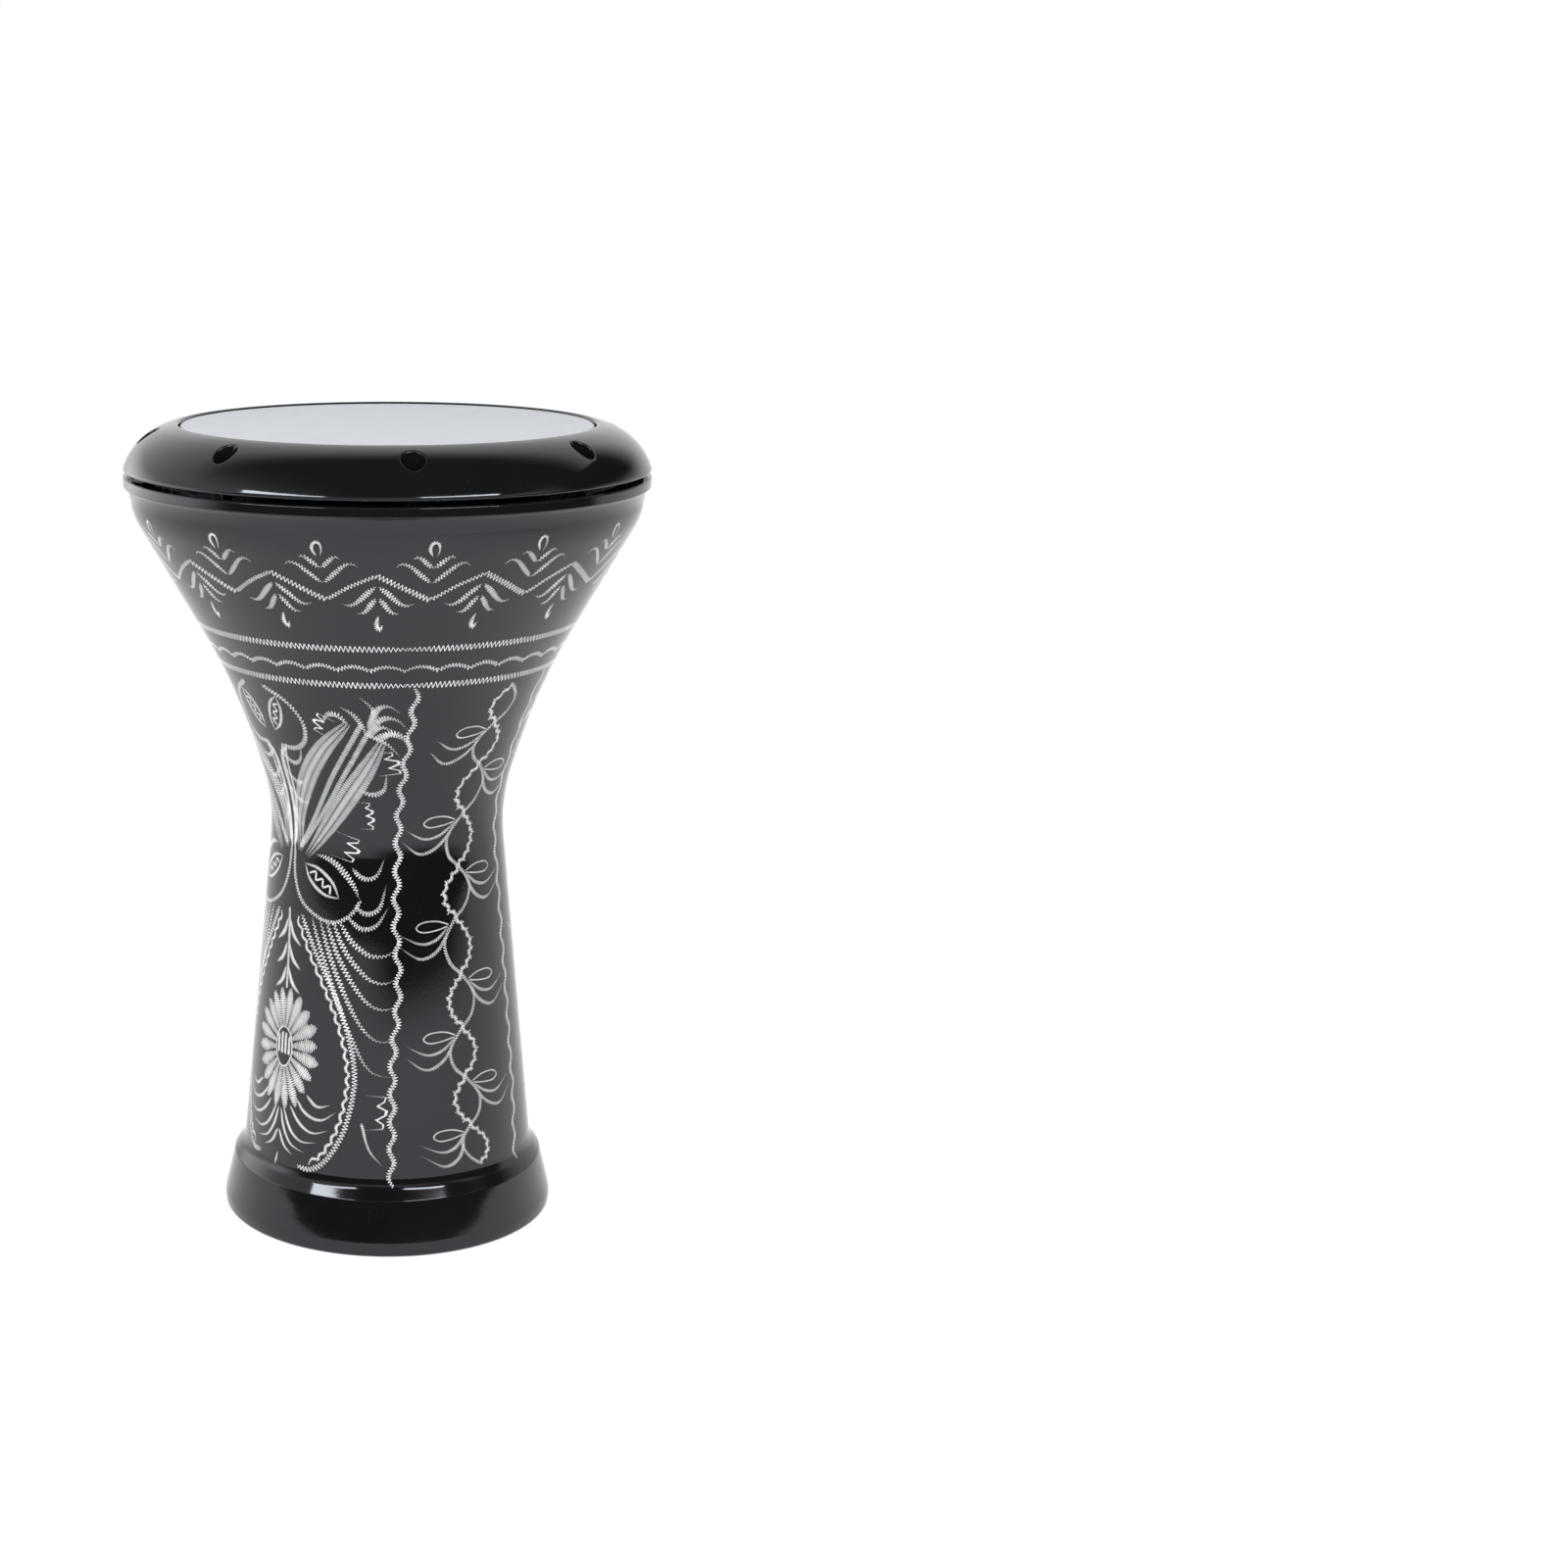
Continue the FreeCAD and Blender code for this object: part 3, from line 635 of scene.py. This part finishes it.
def smooth_path(points):
    """A Catmull-Rom curve through a few points, as evenly spaced points."""
    p = [Vector(q) for q in points]
    if len(p) == 2:
        curve = [p[0].lerp(p[1], k / 8) for k in range(9)]
    else:
        p = [p[0] * 2 - p[1]] + p + [p[-1] * 2 - p[-2]]
        curve = [p[1]]
        for a, b, c, d in zip(p, p[1:], p[2:], p[3:]):
            steps = max(4, int((c - b).length / CURVE_STEP))
            for k in range(1, steps + 1):
                t = k / steps
                curve.append(0.5 * (2 * b + (c - a) * t + (2 * a - 5 * b + 4 * c - d) * t * t
                                    + (3 * b - a - 3 * c + d) * t**3))
    return even_path(curve)


def even_path(curve):
    """The same line with points at equal distances."""
    lengths = [0.0]
    for a, b in zip(curve, curve[1:]):
        lengths.append(lengths[-1] + (b - a).length)
    count = max(4, round(lengths[-1] / PATH_STEP))
    out = []
    n = 0
    for k in range(count + 1):
        want = lengths[-1] * k / count
        while n < len(curve) - 2 and lengths[n + 1] < want:
            n += 1
        gap = lengths[n + 1] - lengths[n]
        out.append(curve[n].lerp(curve[n + 1], (want - lengths[n]) / gap if gap else 0.0))
    return out


def scallops(points, offset, bump, pitch):
    """A line beside another, in round bumps that meet in cusps."""
    base = smooth_path(points)
    total = sum((b - a).length for a, b in zip(base, base[1:]))
    waves = max(1, round(total / pitch))
    out = []
    for k, p in enumerate(base):
        run = base[min(k + 1, len(base) - 1)] - base[max(k - 1, 0)]
        across = Vector((-run.y, run.x)).normalized()
        out.append(p + across * (offset + bump * abs(math.sin(math.pi * waves * k / (len(base) - 1)))))
    return out


# How a cut's width runs along it, from 0 to 1.
SHAPES = {
    "even": lambda t: min(1.0, 0.55 + 18 * min(t, 1 - t)),
    "leaf": lambda t: math.sin(math.pi * t)**0.6,
    "hook": lambda t: math.sin(math.pi * t**0.62)**0.8,
    "comet": lambda t: min(1.0, 0.5 + 12 * t) * (1 - t)**0.55,
    "petal": lambda t: min(1.0, 0.25 + 1.15 * t) * (1 - t**5)**0.6,
}


class Engraving:
    """Wriggle cuts on the shell: fine raised ribbons, gathered into one mesh."""

    def __init__(self, name, seed):
        self.name = name
        self.random = random.Random(seed)
        self.verts = []
        self.faces = []

    def ribbon(self, line):
        """A closed three-sided ribbon. line: (angle, height, sideways vector) for each point."""
        dense = [line[0]]
        for a, b in zip(line, line[1:]):
            r = shell_row(b[1])[0]
            gap = math.hypot((b[0] - a[0]) * r, b[1] - a[1])
            parts = max(1, math.ceil(gap / LONGEST_FACET))
            for k in range(1, parts + 1):
                t = k / parts
                dense.append((a[0] + (b[0] - a[0]) * t, a[1] + (b[1] - a[1]) * t, a[2].lerp(b[2], t)))
        first = len(self.verts)
        for angle, z, side in dense:
            r = shell_row(z)[0]
            self.verts.append(on_shell(angle - side.x / r, z - side.y, ROOT))
            self.verts.append(on_shell(angle, z, RIDGE))
            self.verts.append(on_shell(angle + side.x / r, z + side.y, ROOT))
        last = first + 3 * (len(dense) - 1)
        for n in range(first, last, 3):
            self.faces += [(n, n + 3, n + 4, n + 1), (n + 1, n + 4, n + 5, n + 2),
                           (n + 2, n + 5, n + 3, n)]
        self.faces += [(first, first + 1, first + 2), (last, last + 2, last + 1)]

    def wriggle(self, place, path, width, shape="even", pitch=1.3, line=0.5):
        """A rocked cut: short strokes from side to side across a path."""
        if not isinstance(path[0], Vector):
            path = smooth_path(path)
        total = sum((b - a).length for a, b in zip(path, path[1:]))
        count = max(6, round(total / (pitch * STROKE)))
        corners = []
        for k in range(count + 1):
            t = k / count
            at = t * (len(path) - 1)
            n = min(int(at), len(path) - 2)
            c = path[n].lerp(path[n + 1], at - n)
            run = (path[min(n + 2, len(path) - 1)] - path[max(n - 1, 0)]).normalized()
            across = Vector((-run.y, run.x))
            swell = SHAPES[shape](t)
            reach = width * max(0.06, swell) * (1 + self.random.uniform(-0.09, 0.09))
            c = c + across * (reach if k % 2 else -reach) + run * self.random.uniform(-0.06, 0.06)
            half = line * LINE_HALF * (0.45 + 0.55 * swell) * self.random.uniform(0.8, 1.15)
            corners.append((*place(c.x, c.y), run * half))
        if place(1, corners[0][1])[0] < place(0, corners[0][1])[0]:
            corners = [(a, z, Vector((-s.x, s.y))) for a, z, s in corners]
        self.ribbon(corners)

    def finish(self):
        return add_mesh(self.name, self.verts, self.faces, "shell", CUT, smooth=False)


# The border under the lip: a zigzag line, leaves standing in its valleys and hanging from its peaks.
PEAKS = 14
PEAK_HEIGHT, VALLEY_HEIGHT = 372.5, 359.5


def peak_angle(k):
    """The border was divided by eye, so its repeats are a little closer at the front."""
    a = math.radians(-8.0 + 360.0 * k / PEAKS)
    return a - math.radians(1.8) * math.sin(a + math.radians(8.0))


def cut_border():
    e = Engraving("engraving_border", 1)
    for k in range(PEAKS):
        left, peak = peak_angle(k - 0.5), peak_angle(k)
        right = peak_angle(k + 0.5)
        r = shell_row(366)[0]
        here = lambda u, z, a=peak: (a + u / r, z)
        down = (right - peak) * r
        up = (peak - left) * r
        e.wriggle(here, [(-up, VALLEY_HEIGHT), (-up * 0.9, VALLEY_HEIGHT + 0.9), (-up / 2, 366.5),
                         (0, PEAK_HEIGHT)], 1.0, pitch=1.6, line=0.44)
        e.wriggle(here, [(0, PEAK_HEIGHT), (down / 2, 365.5), (down * 0.9, VALLEY_HEIGHT + 0.6),
                         (down, VALLEY_HEIGHT)], 1.5, pitch=1.7, line=0.48)
        for side in (-1, 1):
            hang = lambda u, z, s=side, a=peak: (a + s * u / r, z)
            stand = lambda u, z, s=side, a=right: (a + s * u / r, z)
            e.wriggle(hang, [(0.8, 366.4), (6, 362), (11, 357.5), (15, 356), (18.5, 357)], 1.5,
                      "hook", 1.3, 0.46)
            e.wriggle(hang, [(0.8, 360), (4, 356), (7, 352.4), (11, 351.6)], 1.5, "hook", 1.3, 0.46)
            e.wriggle(stand, [(0.5, 368.2), (6, 373), (11, 377.5), (15, 378.8), (18, 376.8)], 1.25,
                      "hook", 1.3, 0.44)
            e.wriggle(stand, [(0.5, 376.2), (4, 379.6), (7.5, 382.4), (10, 381.2)], 1.25,
                      "hook", 1.3, 0.44)
        e.wriggle(here, [(0.3, 350.5), (-1.2, 345.5), (0.6, 342.6), (2.2, 345.5)], 1.3, "leaf", 0.8)
        e.wriggle(lambda u, z, a=right: (a + u / r, z),
                  [(-1, 382.6), (-2.6, 386.5), (-1.2, 389.6), (1.2, 389.2), (1.8, 385.5), (0.8, 382.3)],
                  0.8, "hook", 0.8)
    e.finish()


# Two toothed lines with a scalloped line between them.
SCALLOPS = 35
SCALLOP_POINTS = 24


def cut_bands():
    e = Engraving("engraving_bands", 2)
    for z in (331.6, 310.8):
        r = shell_row(z)[0]
        ring = [Vector((r * math.tau * k / 720, z)) for k in range(721)]
        e.wriggle(lambda u, z, r=r: (u / r, z), ring, 1.7, pitch=2.0, line=0.5)
    r = shell_row(320)[0]
    start = math.radians(-0.5)
    ring = []
    for k in range(SCALLOPS * SCALLOP_POINTS + 1):
        rise = 2.7 * abs(math.sin(math.pi * k / SCALLOP_POINTS))**0.85
        ring.append(Vector((r * math.tau * k / (SCALLOPS * SCALLOP_POINTS), 318.9 + rise)))
    e.wriggle(lambda u, z: (start + u / r, z), ring, 1.1, pitch=1.5, line=0.44)
    e.finish()


# Upright wavy bands between the panels, a little out of plumb.
DIVIDER_A = between([(309, 3.8), (219, -0.7), (181, -1.8), (148, -0.8), (96, -3.6), (36, -4.2)])
DIVIDER_B = between([(309, 60.5), (209, 59.7), (144, 59.2), (81, 58.4), (36, 55.5)])


def cut_dividers():
    e = Engraving("engraving_dividers", 3)
    for axis in (DIVIDER_A, DIVIDER_B):
        for turned in (0, 180):
            place = panel(lambda z, axis=axis, turned=turned: axis(z) + turned)
            heights = [309 - 0.5 * k for k in range(547)]
            wave = [Vector((1.6 * math.sin(math.tau * z / 15), z)) for z in heights]
            e.wriggle(place, wave, 1.4, pitch=1.25, line=0.5)
    e.finish()


# A vine: a smooth stem and a scalloped one that cross at each node, with curled leaves.
VINE_AXIS = between([(41, 34), (65, 30), (92, 28), (148, 28.5), (179, 27.5), (206, 30), (235, 33),
                     (262, 36.5), (285, 39), (306, 41)])
VINE_NODES = [306, 285, 262, 235, 206, 179, 148, 119, 92, 65, 42]


def cut_vine(name, seed, turned):
    e = Engraving(name, seed)
    place = panel(lambda z: VINE_AXIS(z) + turned)
    side = 1
    for top, low in zip(VINE_NODES, VINE_NODES[1:]):
        mid = (top + low) / 2
        reach = 8.5 * side
        stem = [(0, top), (reach * 0.75, mid + (top - low) * 0.22), (reach, mid),
                (reach * 0.7, low + (top - low) * 0.2), (0, low)]
        e.wriggle(place, stem, 1.0, pitch=1.25, line=0.4)
        other = [(-x, z) for x, z in stem]
        e.wriggle(place, scallops(other, -1.1 * side, 2.5 * side, 5.2), 0.95, pitch=0.95, line=0.5)
        leaves = panel(lambda z: VINE_AXIS(z) + turned, side)
        if top < 300:
            z = top - 5
            e.wriggle(leaves, [(5, z + 1.5), (12, z + 4), (20, z + 3.8), (23.5, z + 1), (20, z - 1.4),
                               (12, z - 0.8), (5.5, z + 0.6)], 0.42, "even", 0.9, 0.42)
            e.wriggle(leaves, [(5.5, z), (13, z - 6), (22, z - 7.5), (33, z - 2)], 0.9,
                      "hook", 1.15, 0.42)
            e.wriggle(leaves, [(6, z - 3), (13, z - 12), (23, z - 15.5), (34, z - 8)], 1.0,
                      "hook", 1.15, 0.42)
        side = -side
    e.finish()


# A garden: seed pods with plumes, eyes, fans of hooks and a daisy, mirrored about an upright axis.
GARDEN_AXIS = between([(305, -58), (200, -57.5), (104, -55), (36, -55)])
PODS = (
    [(6, 212), (6, 231), (16, 252), (33, 272), (54, 289)],
    [(11, 210), (36, 242), (54, 262), (69, 280)],
)
PLUME = (
    [(61, 284), (59, 293), (53, 298)],
    [(63, 286), (70, 296), (66, 304)],
    [(63, 286), (72, 297), (79, 299), (83, 295)],
    [(63, 285), (73, 292), (80, 291), (83, 286)],
    [(61, 281), (69, 287), (76, 285)],
    [(64, 280), (73, 283), (79, 280), (81, 275)],
    [(53, 288), (50, 293), (44, 293), (39, 287)],
    [(67, 279), (74, 284), (80, 281), (82, 273)],
)
UPPER_HOOKS = (
    [(2, 268), (11, 262), (17, 265), (20, 273)],
    [(2, 258), (9, 251), (15, 252), (19, 257)],
    [(2, 248), (8, 241), (13, 240), (17, 244)],
    [(2, 238), (5, 229), (10, 226)],
)
SIDE_HOOKS = (
    [(46, 251), (53, 248), (60, 251), (64, 260)],
    [(39, 207), (45, 202), (52, 203), (56, 213)],
    [(42, 187), (48, 183), (55, 186), (58, 199)],
    [(38, 181), (46, 175), (54, 177), (60, 187)],
    [(60, 283), (69, 278), (74, 270)],
)
FANS = (
    [(34, 178), (41, 168), (51, 161), (60, 161), (66, 166)],
    [(30, 178), (38, 162), (50, 149), (59, 146), (67, 149)],
    [(26, 178), (35, 157), (48, 138), (58, 132), (68, 134)],
    [(22, 178), (32, 152), (46, 125), (57, 115), (68, 116)],
    [(17, 178), (28, 150), (42, 118), (54, 99), (68, 95)],
)
RIM = [(10, 178), (20, 160), (32, 139), (41, 118), (46, 98), (46, 82), (42, 63), (34, 48), (25, 41),
       (16, 41)]
SPRAYS = (
    [(1, 70), (4, 60), (10, 52), (20, 49)],
    [(3, 71), (9, 60), (17, 55), (27, 56)],
    [(8, 73), (15, 65), (24, 61), (34, 64)],
    [(12, 78), (19, 71), (29, 69), (38, 75)],
    [(19, 81), (26, 76), (34, 78)],
    [(0.5, 58), (5, 50), (12, 46)],
)


def comb(e, place, u, z, heading, fingers, reach, gap):
    """A little hand of round fingers in one winding cut, with two fading tails."""
    h = math.radians(heading)
    on = Vector((math.cos(h), math.sin(h)))
    across = Vector((-on.y, on.x))
    middle = Vector((u, z))
    points = [middle - across * gap * fingers * 0.42 - on * reach * 0.8]
    for k in range(fingers):
        shift = (k - (fingers - 1) / 2) * gap
        length = reach * (1 - 0.18 * abs(k - (fingers - 1) / 2))
        points.append(middle + across * (shift - gap * 0.16) + on * length * 0.92)
        points.append(middle + across * (shift + gap * 0.16) + on * length)
        if k < fingers - 1:
            points.append(middle + across * (shift + gap * 0.5) + on * reach * 0.15)
    points.append(middle + across * gap * fingers * 0.42 - on * reach * 0.9)
    e.wriggle(place, points, 0.75, "leaf", 0.85, 0.55)


def almond(e, place, start, end, width):
    """A pointed leaf: two bowed bands and a winding cut inside."""
    a, b = Vector(start), Vector(end)
    on = (b - a).normalized()
    across = Vector((-on.y, on.x))
    for side in (-1, 1):
        bow = [a, a.lerp(b, 0.3) + across * width * side, a.lerp(b, 0.7) + across * width * side, b]
        e.wriggle(place, [tuple(p) for p in bow], 1.0, "leaf", 1.0)
    inner = []
    for k in range(7):
        t = 0.2 + 0.1 * k
        inner.append(tuple(a.lerp(b, t) + across * width * 0.42 * (1 if k % 2 else -1)))
    e.wriggle(place, inner, 0.6, "even", 0.8)


def daisy(e, place, z, inner, outer, petals):
    """Petals round an oval heart with upright hatching."""
    for k in range(petals):
        a = math.tau * (k + 0.5) / petals
        wide = 3.5 + 0.6 * e.random.random()
        reach = 1 + 0.07 * e.random.uniform(-1, 1)
        start = (inner[0] * math.sin(a), z + inner[1] * math.cos(a))
        end = (outer[0] * reach * math.sin(a), z + outer[1] * reach * math.cos(a))
        e.wriggle(place, [start, end], wide * (0.78 + 0.22 * abs(math.sin(a))), "petal", 1.05, 0.56)
    heart = [(inner[0] * math.sin(a), z + inner[1] * math.cos(a))
             for a in (math.tau * k / 12 for k in range(13))]
    e.wriggle(place, heart, 0.55, "even", 0.9)
    for u in (-4.2, -1.4, 1.4, 4.2):
        top = z + inner[1] * 0.72 * math.sqrt(1 - (u / inner[0])**2)
        e.wriggle(place, [(u, top), (u, z - 4)], 0.95, "even", 0.9)


def cut_garden(name, seed, turned):
    e = Engraving(name, seed)
    axis = lambda z: GARDEN_AXIS(z) + turned
    for side in (1, -1):
        place = panel(axis, side)
        for pod in PODS:
            spine = smooth_path(pod)
            for offset in (-3.6, 0.0, 3.6):
                row = []
                for k, p in enumerate(spine):
                    run = (spine[min(k + 1, len(spine) - 1)] - spine[max(k - 1, 0)]).normalized()
                    swell = math.sin(math.pi * (0.08 + 0.86 * k / (len(spine) - 1)))**0.7
                    row.append(p + Vector((-run.y, run.x)) * offset * swell)
                e.wriggle(place, row, 1.75, "leaf", 1.25 if offset else 1.0, 0.42)
        for shift in (-1.6, 1.6):
            e.wriggle(place, [(6 + shift * 0.3, 214), (33 + shift, 252 - shift), (62 + shift, 287 - shift)],
                      1.3, "even", 1.3, 0.42)
        for line in PLUME:
            e.wriggle(place, line, 1.6, "hook", 1.2, 0.42)
        for line in UPPER_HOOKS + SIDE_HOOKS:
            e.wriggle(place, line, 1.35, "hook", 1.3, 0.44)
        e.wriggle(place, [(1.2, 213), (2, 236), (2, 262), (8, 270)], 0.95, "even", 1.1)
        for shift in (3.4, 6.2):
            e.wriggle(place, [(1 + shift * 0.2, 216), (shift * 0.8, 240), (shift, 262), (shift + 3, 272)],
                      0.9, "even", 1.2)
        e.wriggle(place, [(7, 271), (16, 271), (24, 276), (27, 287), (21, 298), (8, 305)], 1.35,
                  "even", 1.5, 0.46)
        almond(e, place, (4, 279), (15, 300), 3.6)
        comb(e, place, 40, 286, 150, 3, 6.0, 4.8)
        comb(e, place, 65, 266, 5, 3, 7.5, 5.2)
        comb(e, place, 47, 236, 0, 4, 4.5, 4.4)
        comb(e, place, 34, 218, -15, 3, 8.5, 5.4)
        comb(e, place, 59, 76, 0, 3, 6.0, 7.5)
        e.wriggle(place, [(17, 212), (27, 210), (35, 204), (41, 197), (44, 191)], 1.8, "leaf", 1.5, 0.5)
        e.wriggle(place, [(1.5, 213), (3, 198), (9, 186), (20, 179), (31, 177), (40, 182), (45, 190)],
                  1.1, "even", 1.4, 0.46)
        almond(e, place, (10, 206), (33, 190), 4.2)
        for line in FANS:
            e.wriggle(place, line, 1.6, "hook", 1.75, 0.52)
        e.wriggle(place, RIM, 1.5, "even", 1.6, 0.5)
        e.wriggle(place, scallops(RIM[:-1], -2.6, -2.2, 6.8), 0.8, "even", 0.8, 0.5)
        e.wriggle(place, [(52, 70), (57, 56), (65, 47)], 0.9, "comet", 1.0)
        for z in (174, 161, 148):
            e.wriggle(place, [(1, z), (4, z - 8), (10, z - 13)], 1.3, "leaf", 0.85)
        for line in SPRAYS:
            e.wriggle(place, line, 0.95, "hook", 0.9)
    middle = panel(axis)
    e.wriggle(middle, [(0, 180), (0.6, 160), (0, 136)], 1.0, "even", 1.1)
    daisy(e, middle, 104, (6.5, 11), (25, 33), 20)
    e.wriggle(middle, [(0.5, 45), (-1, 38)], 0.7, "leaf", 0.9)
    e.finish()


cut_border()
cut_bands()
cut_dividers()
cut_vine("engraving_vine_1", 4, 0)
cut_vine("engraving_vine_2", 5, 180)
cut_garden("engraving_garden_1", 6, 0)
cut_garden("engraving_garden_2", 7, 180)


# ---------------------------------------------------------------- stage, light and camera

VIEW_TURN = 5.7                                  # camera's turn round the drum and its tilt down
VIEW_DROP = 13.62
STAND_OFF = 1.404                                # metres from the drum's axis
EYE_ABOVE_HEAD = 0.1444                          # metres above the playing surface
FLOOR_GLOW = 0.54                                # tops the lit paper up to white
WORLD_LEVEL = 0.5                                # the world's light on the object
FLOOR_SIZE = 6.0
turn = math.radians(VIEW_TURN)
drop = math.radians(VIEW_DROP)
camera_data = bpy.data.cameras.new("camera")
camera = bpy.data.objects.new("camera", camera_data)
scene.collection.objects.link(camera)
eye = Vector((-math.sin(turn) * STAND_OFF, -math.cos(turn) * STAND_OFF, HEAD * MM + EYE_ABOVE_HEAD))
look = Vector((math.sin(turn) * math.cos(drop), math.cos(turn) * math.cos(drop), -math.sin(drop)))
camera.location = eye
camera.rotation_euler = look.to_track_quat("-Z", "Y").to_euler()
camera_data.sensor_width = 36.0
camera_data.lens = 60.86
camera_data.shift_x = 0.253
camera_data.clip_start = 0.05
camera_data.clip_end = 50.0
scene.camera = camera


def stage_piece(name, verts, faces, material):
    mesh = bpy.data.meshes.new(name)
    mesh.from_pydata(verts, [], faces)
    mesh.materials.append(material)
    piece = bpy.data.objects.new(name, mesh)
    scene.collection.objects.link(piece)
    piece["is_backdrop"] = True
    return piece


def make_floor_paper():
    """Pale paper. The camera and reflections see it white, apart from the object's own shadow."""
    n = Nodes("floor_paper")
    n.link(n.mix(n.noise(2.0, 2.0), (0.94, 0.94, 0.94), (0.96, 0.96, 0.96)), n.shader.inputs["Base Color"])
    n.set(Roughness=1.0, IOR=1.0)
    path = n.tree.nodes.new("ShaderNodeLightPath")
    seen = n.math("MAXIMUM", path.outputs["Is Camera Ray"], path.outputs["Is Glossy Ray"])
    seen = n.math("MAXIMUM", seen, path.outputs["Is Transmission Ray"])
    n.set(Emission_Color=(1.0, 1.0, 1.0, 1.0))
    n.link(n.math("MULTIPLY", seen, FLOOR_GLOW), n.shader.inputs["Emission Strength"])
    return n.material


def make_world():
    """White to the camera and in reflections, and a plain soft light on the object."""
    world = bpy.data.worlds.new("studio")
    scene.world = world
    world.use_nodes = True
    tree = world.node_tree
    back = tree.nodes["Background"]
    path = tree.nodes.new("ShaderNodeLightPath")
    seen = path.outputs["Is Camera Ray"]
    for kind in ("Is Glossy Ray", "Is Transmission Ray"):
        node = tree.nodes.new("ShaderNodeMath")
        node.operation = "MAXIMUM"
        tree.links.new(seen, node.inputs[0])
        tree.links.new(path.outputs[kind], node.inputs[1])
        seen = node.outputs["Value"]
    strength = tree.nodes.new("ShaderNodeMapRange")
    strength.inputs["To Min"].default_value = WORLD_LEVEL
    strength.inputs["To Max"].default_value = 1.0
    tree.links.new(seen, strength.inputs["Value"])
    tree.links.new(strength.outputs["Result"], back.inputs["Strength"])
    back.inputs["Color"].default_value = (1.0, 1.0, 1.0, 1.0)


make_world()
stage_piece("floor", [(x * FLOOR_SIZE, y * FLOOR_SIZE, 0) for x, y in ((-1, -1), (1, -1), (1, 1), (-1, 1))],
            [(0, 1, 2, 3)], make_floor_paper())


def softbox(name, azimuth, reach, height, size, power):
    """A strip lamp at a distance from the drum's axis, facing the drum."""
    data = bpy.data.lights.new(name, "AREA")
    data.shape = "RECTANGLE"
    data.size, data.size_y = size
    data.energy = power
    lamp = bpy.data.objects.new(name, data)
    scene.collection.objects.link(lamp)
    a = math.radians(azimuth)
    lamp.location = (reach * math.sin(a), -reach * math.cos(a), height)
    aim = Vector((0, 0, 0.3)) - lamp.location
    lamp.rotation_euler = aim.to_track_quat("-Z", "Y").to_euler()
    lamp.visible_camera = False


def make_card(name, glow):
    """Black card, or a glowing one, that thins out to nothing toward its edges."""
    n = Nodes(name)
    black = n.mix(n.noise(4.0, 2.0), (0.004, 0.004, 0.004), (0.008, 0.008, 0.009))
    n.link(black, n.shader.inputs["Base Color"])
    n.set(Roughness=1.0, Emission_Color=(1.0, 1.0, 1.0, 1.0), Emission_Strength=glow)
    n.link(n.attribute("fade"), n.shader.inputs["Alpha"])
    return n.material


def card(name, point, edges, glow=0.0):
    """A card near the drum that only reflections see. point(s, t) is its surface for 0 to 1 both
    ways; edges are the shares of it that fade on its left, right, low and high sides."""
    across, up = 48, 24
    left, right, low, high = edges
    verts, fade = [], []
    for k in range(across + 1):
        for m in range(up + 1):
            s, t = k / across, m / up
            verts.append(point(s, t))
            worth = 1.0
            for run, share in ((s, left), (1 - s, right), (t, low), (1 - t, high)):
                part = min(1.0, run / share) if share else 1.0
                worth *= part * part * (3 - 2 * part)
            fade.append(worth)
    row = up + 1
    faces = [(k * row + m, k * row + m + 1, (k + 1) * row + m + 1, (k + 1) * row + m)
             for k in range(across) for m in range(up)]
    piece = stage_piece(name, verts, faces, make_card(name, glow))
    piece.data.attributes.new("fade", "FLOAT", "POINT").data.foreach_set("value", fade)
    piece.visible_camera = False
    piece.visible_diffuse = False
    piece.visible_shadow = False
    piece.visible_transmission = False


def bent(reach, first, last, low, high):
    """A surface bent round the drum, between two azimuths and two heights."""
    def point(s, t):
        a = math.radians(first + (last - first) * s)
        return (reach * math.sin(a), -reach * math.cos(a), low + (high - low) * t)
    return point


def overhead(left, right, near, far, height):
    """A level surface above the drum."""
    return lambda s, t: (left + (right - left) * s, near + (far - near) * t, height)


def on_floor(near, far, first, last, height):
    """A level surface round the drum, between two distances from its axis and two azimuths."""
    return lambda s, t: bent(near + (far - near) * t, first, last, height, height)(s, t)


softbox("softbox_left", -50.7, 1.05, 0.90, (0.72, 0.13), 5.5)
softbox("softbox_right", 25.0, 1.05, 0.90, (0.64, 0.13), 5.5)
card("flag_front", bent(1.5, -100, 95, 0.0, 0.8), (0.16, 0.05, 0.0, 0.3))
card("flag_right", bent(1.55, 58, 150, 0.45, 1.45), (0.25, 0.3, 0.4, 0.0))
card("flag_top", overhead(-2.6, 2.6, -2.6, 0.75, 1.45), (0.42, 0.2, 0.12, 0.2))
card("flag_floor", on_floor(0.75, 1.5, -30, 80, 0.004), (0.3, 0.3, 0.7, 0.0))
card("glow_left", bent(1.45, -165, -72, 0.0, 0.85), (0.3, 0.3, 0.4, 0.5), 2.6)

scene.view_settings.view_transform = "Standard"
bpy.context.view_layer.update()
[[list(map(float, corner)) for corner in box] for box in (cad_box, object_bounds())]
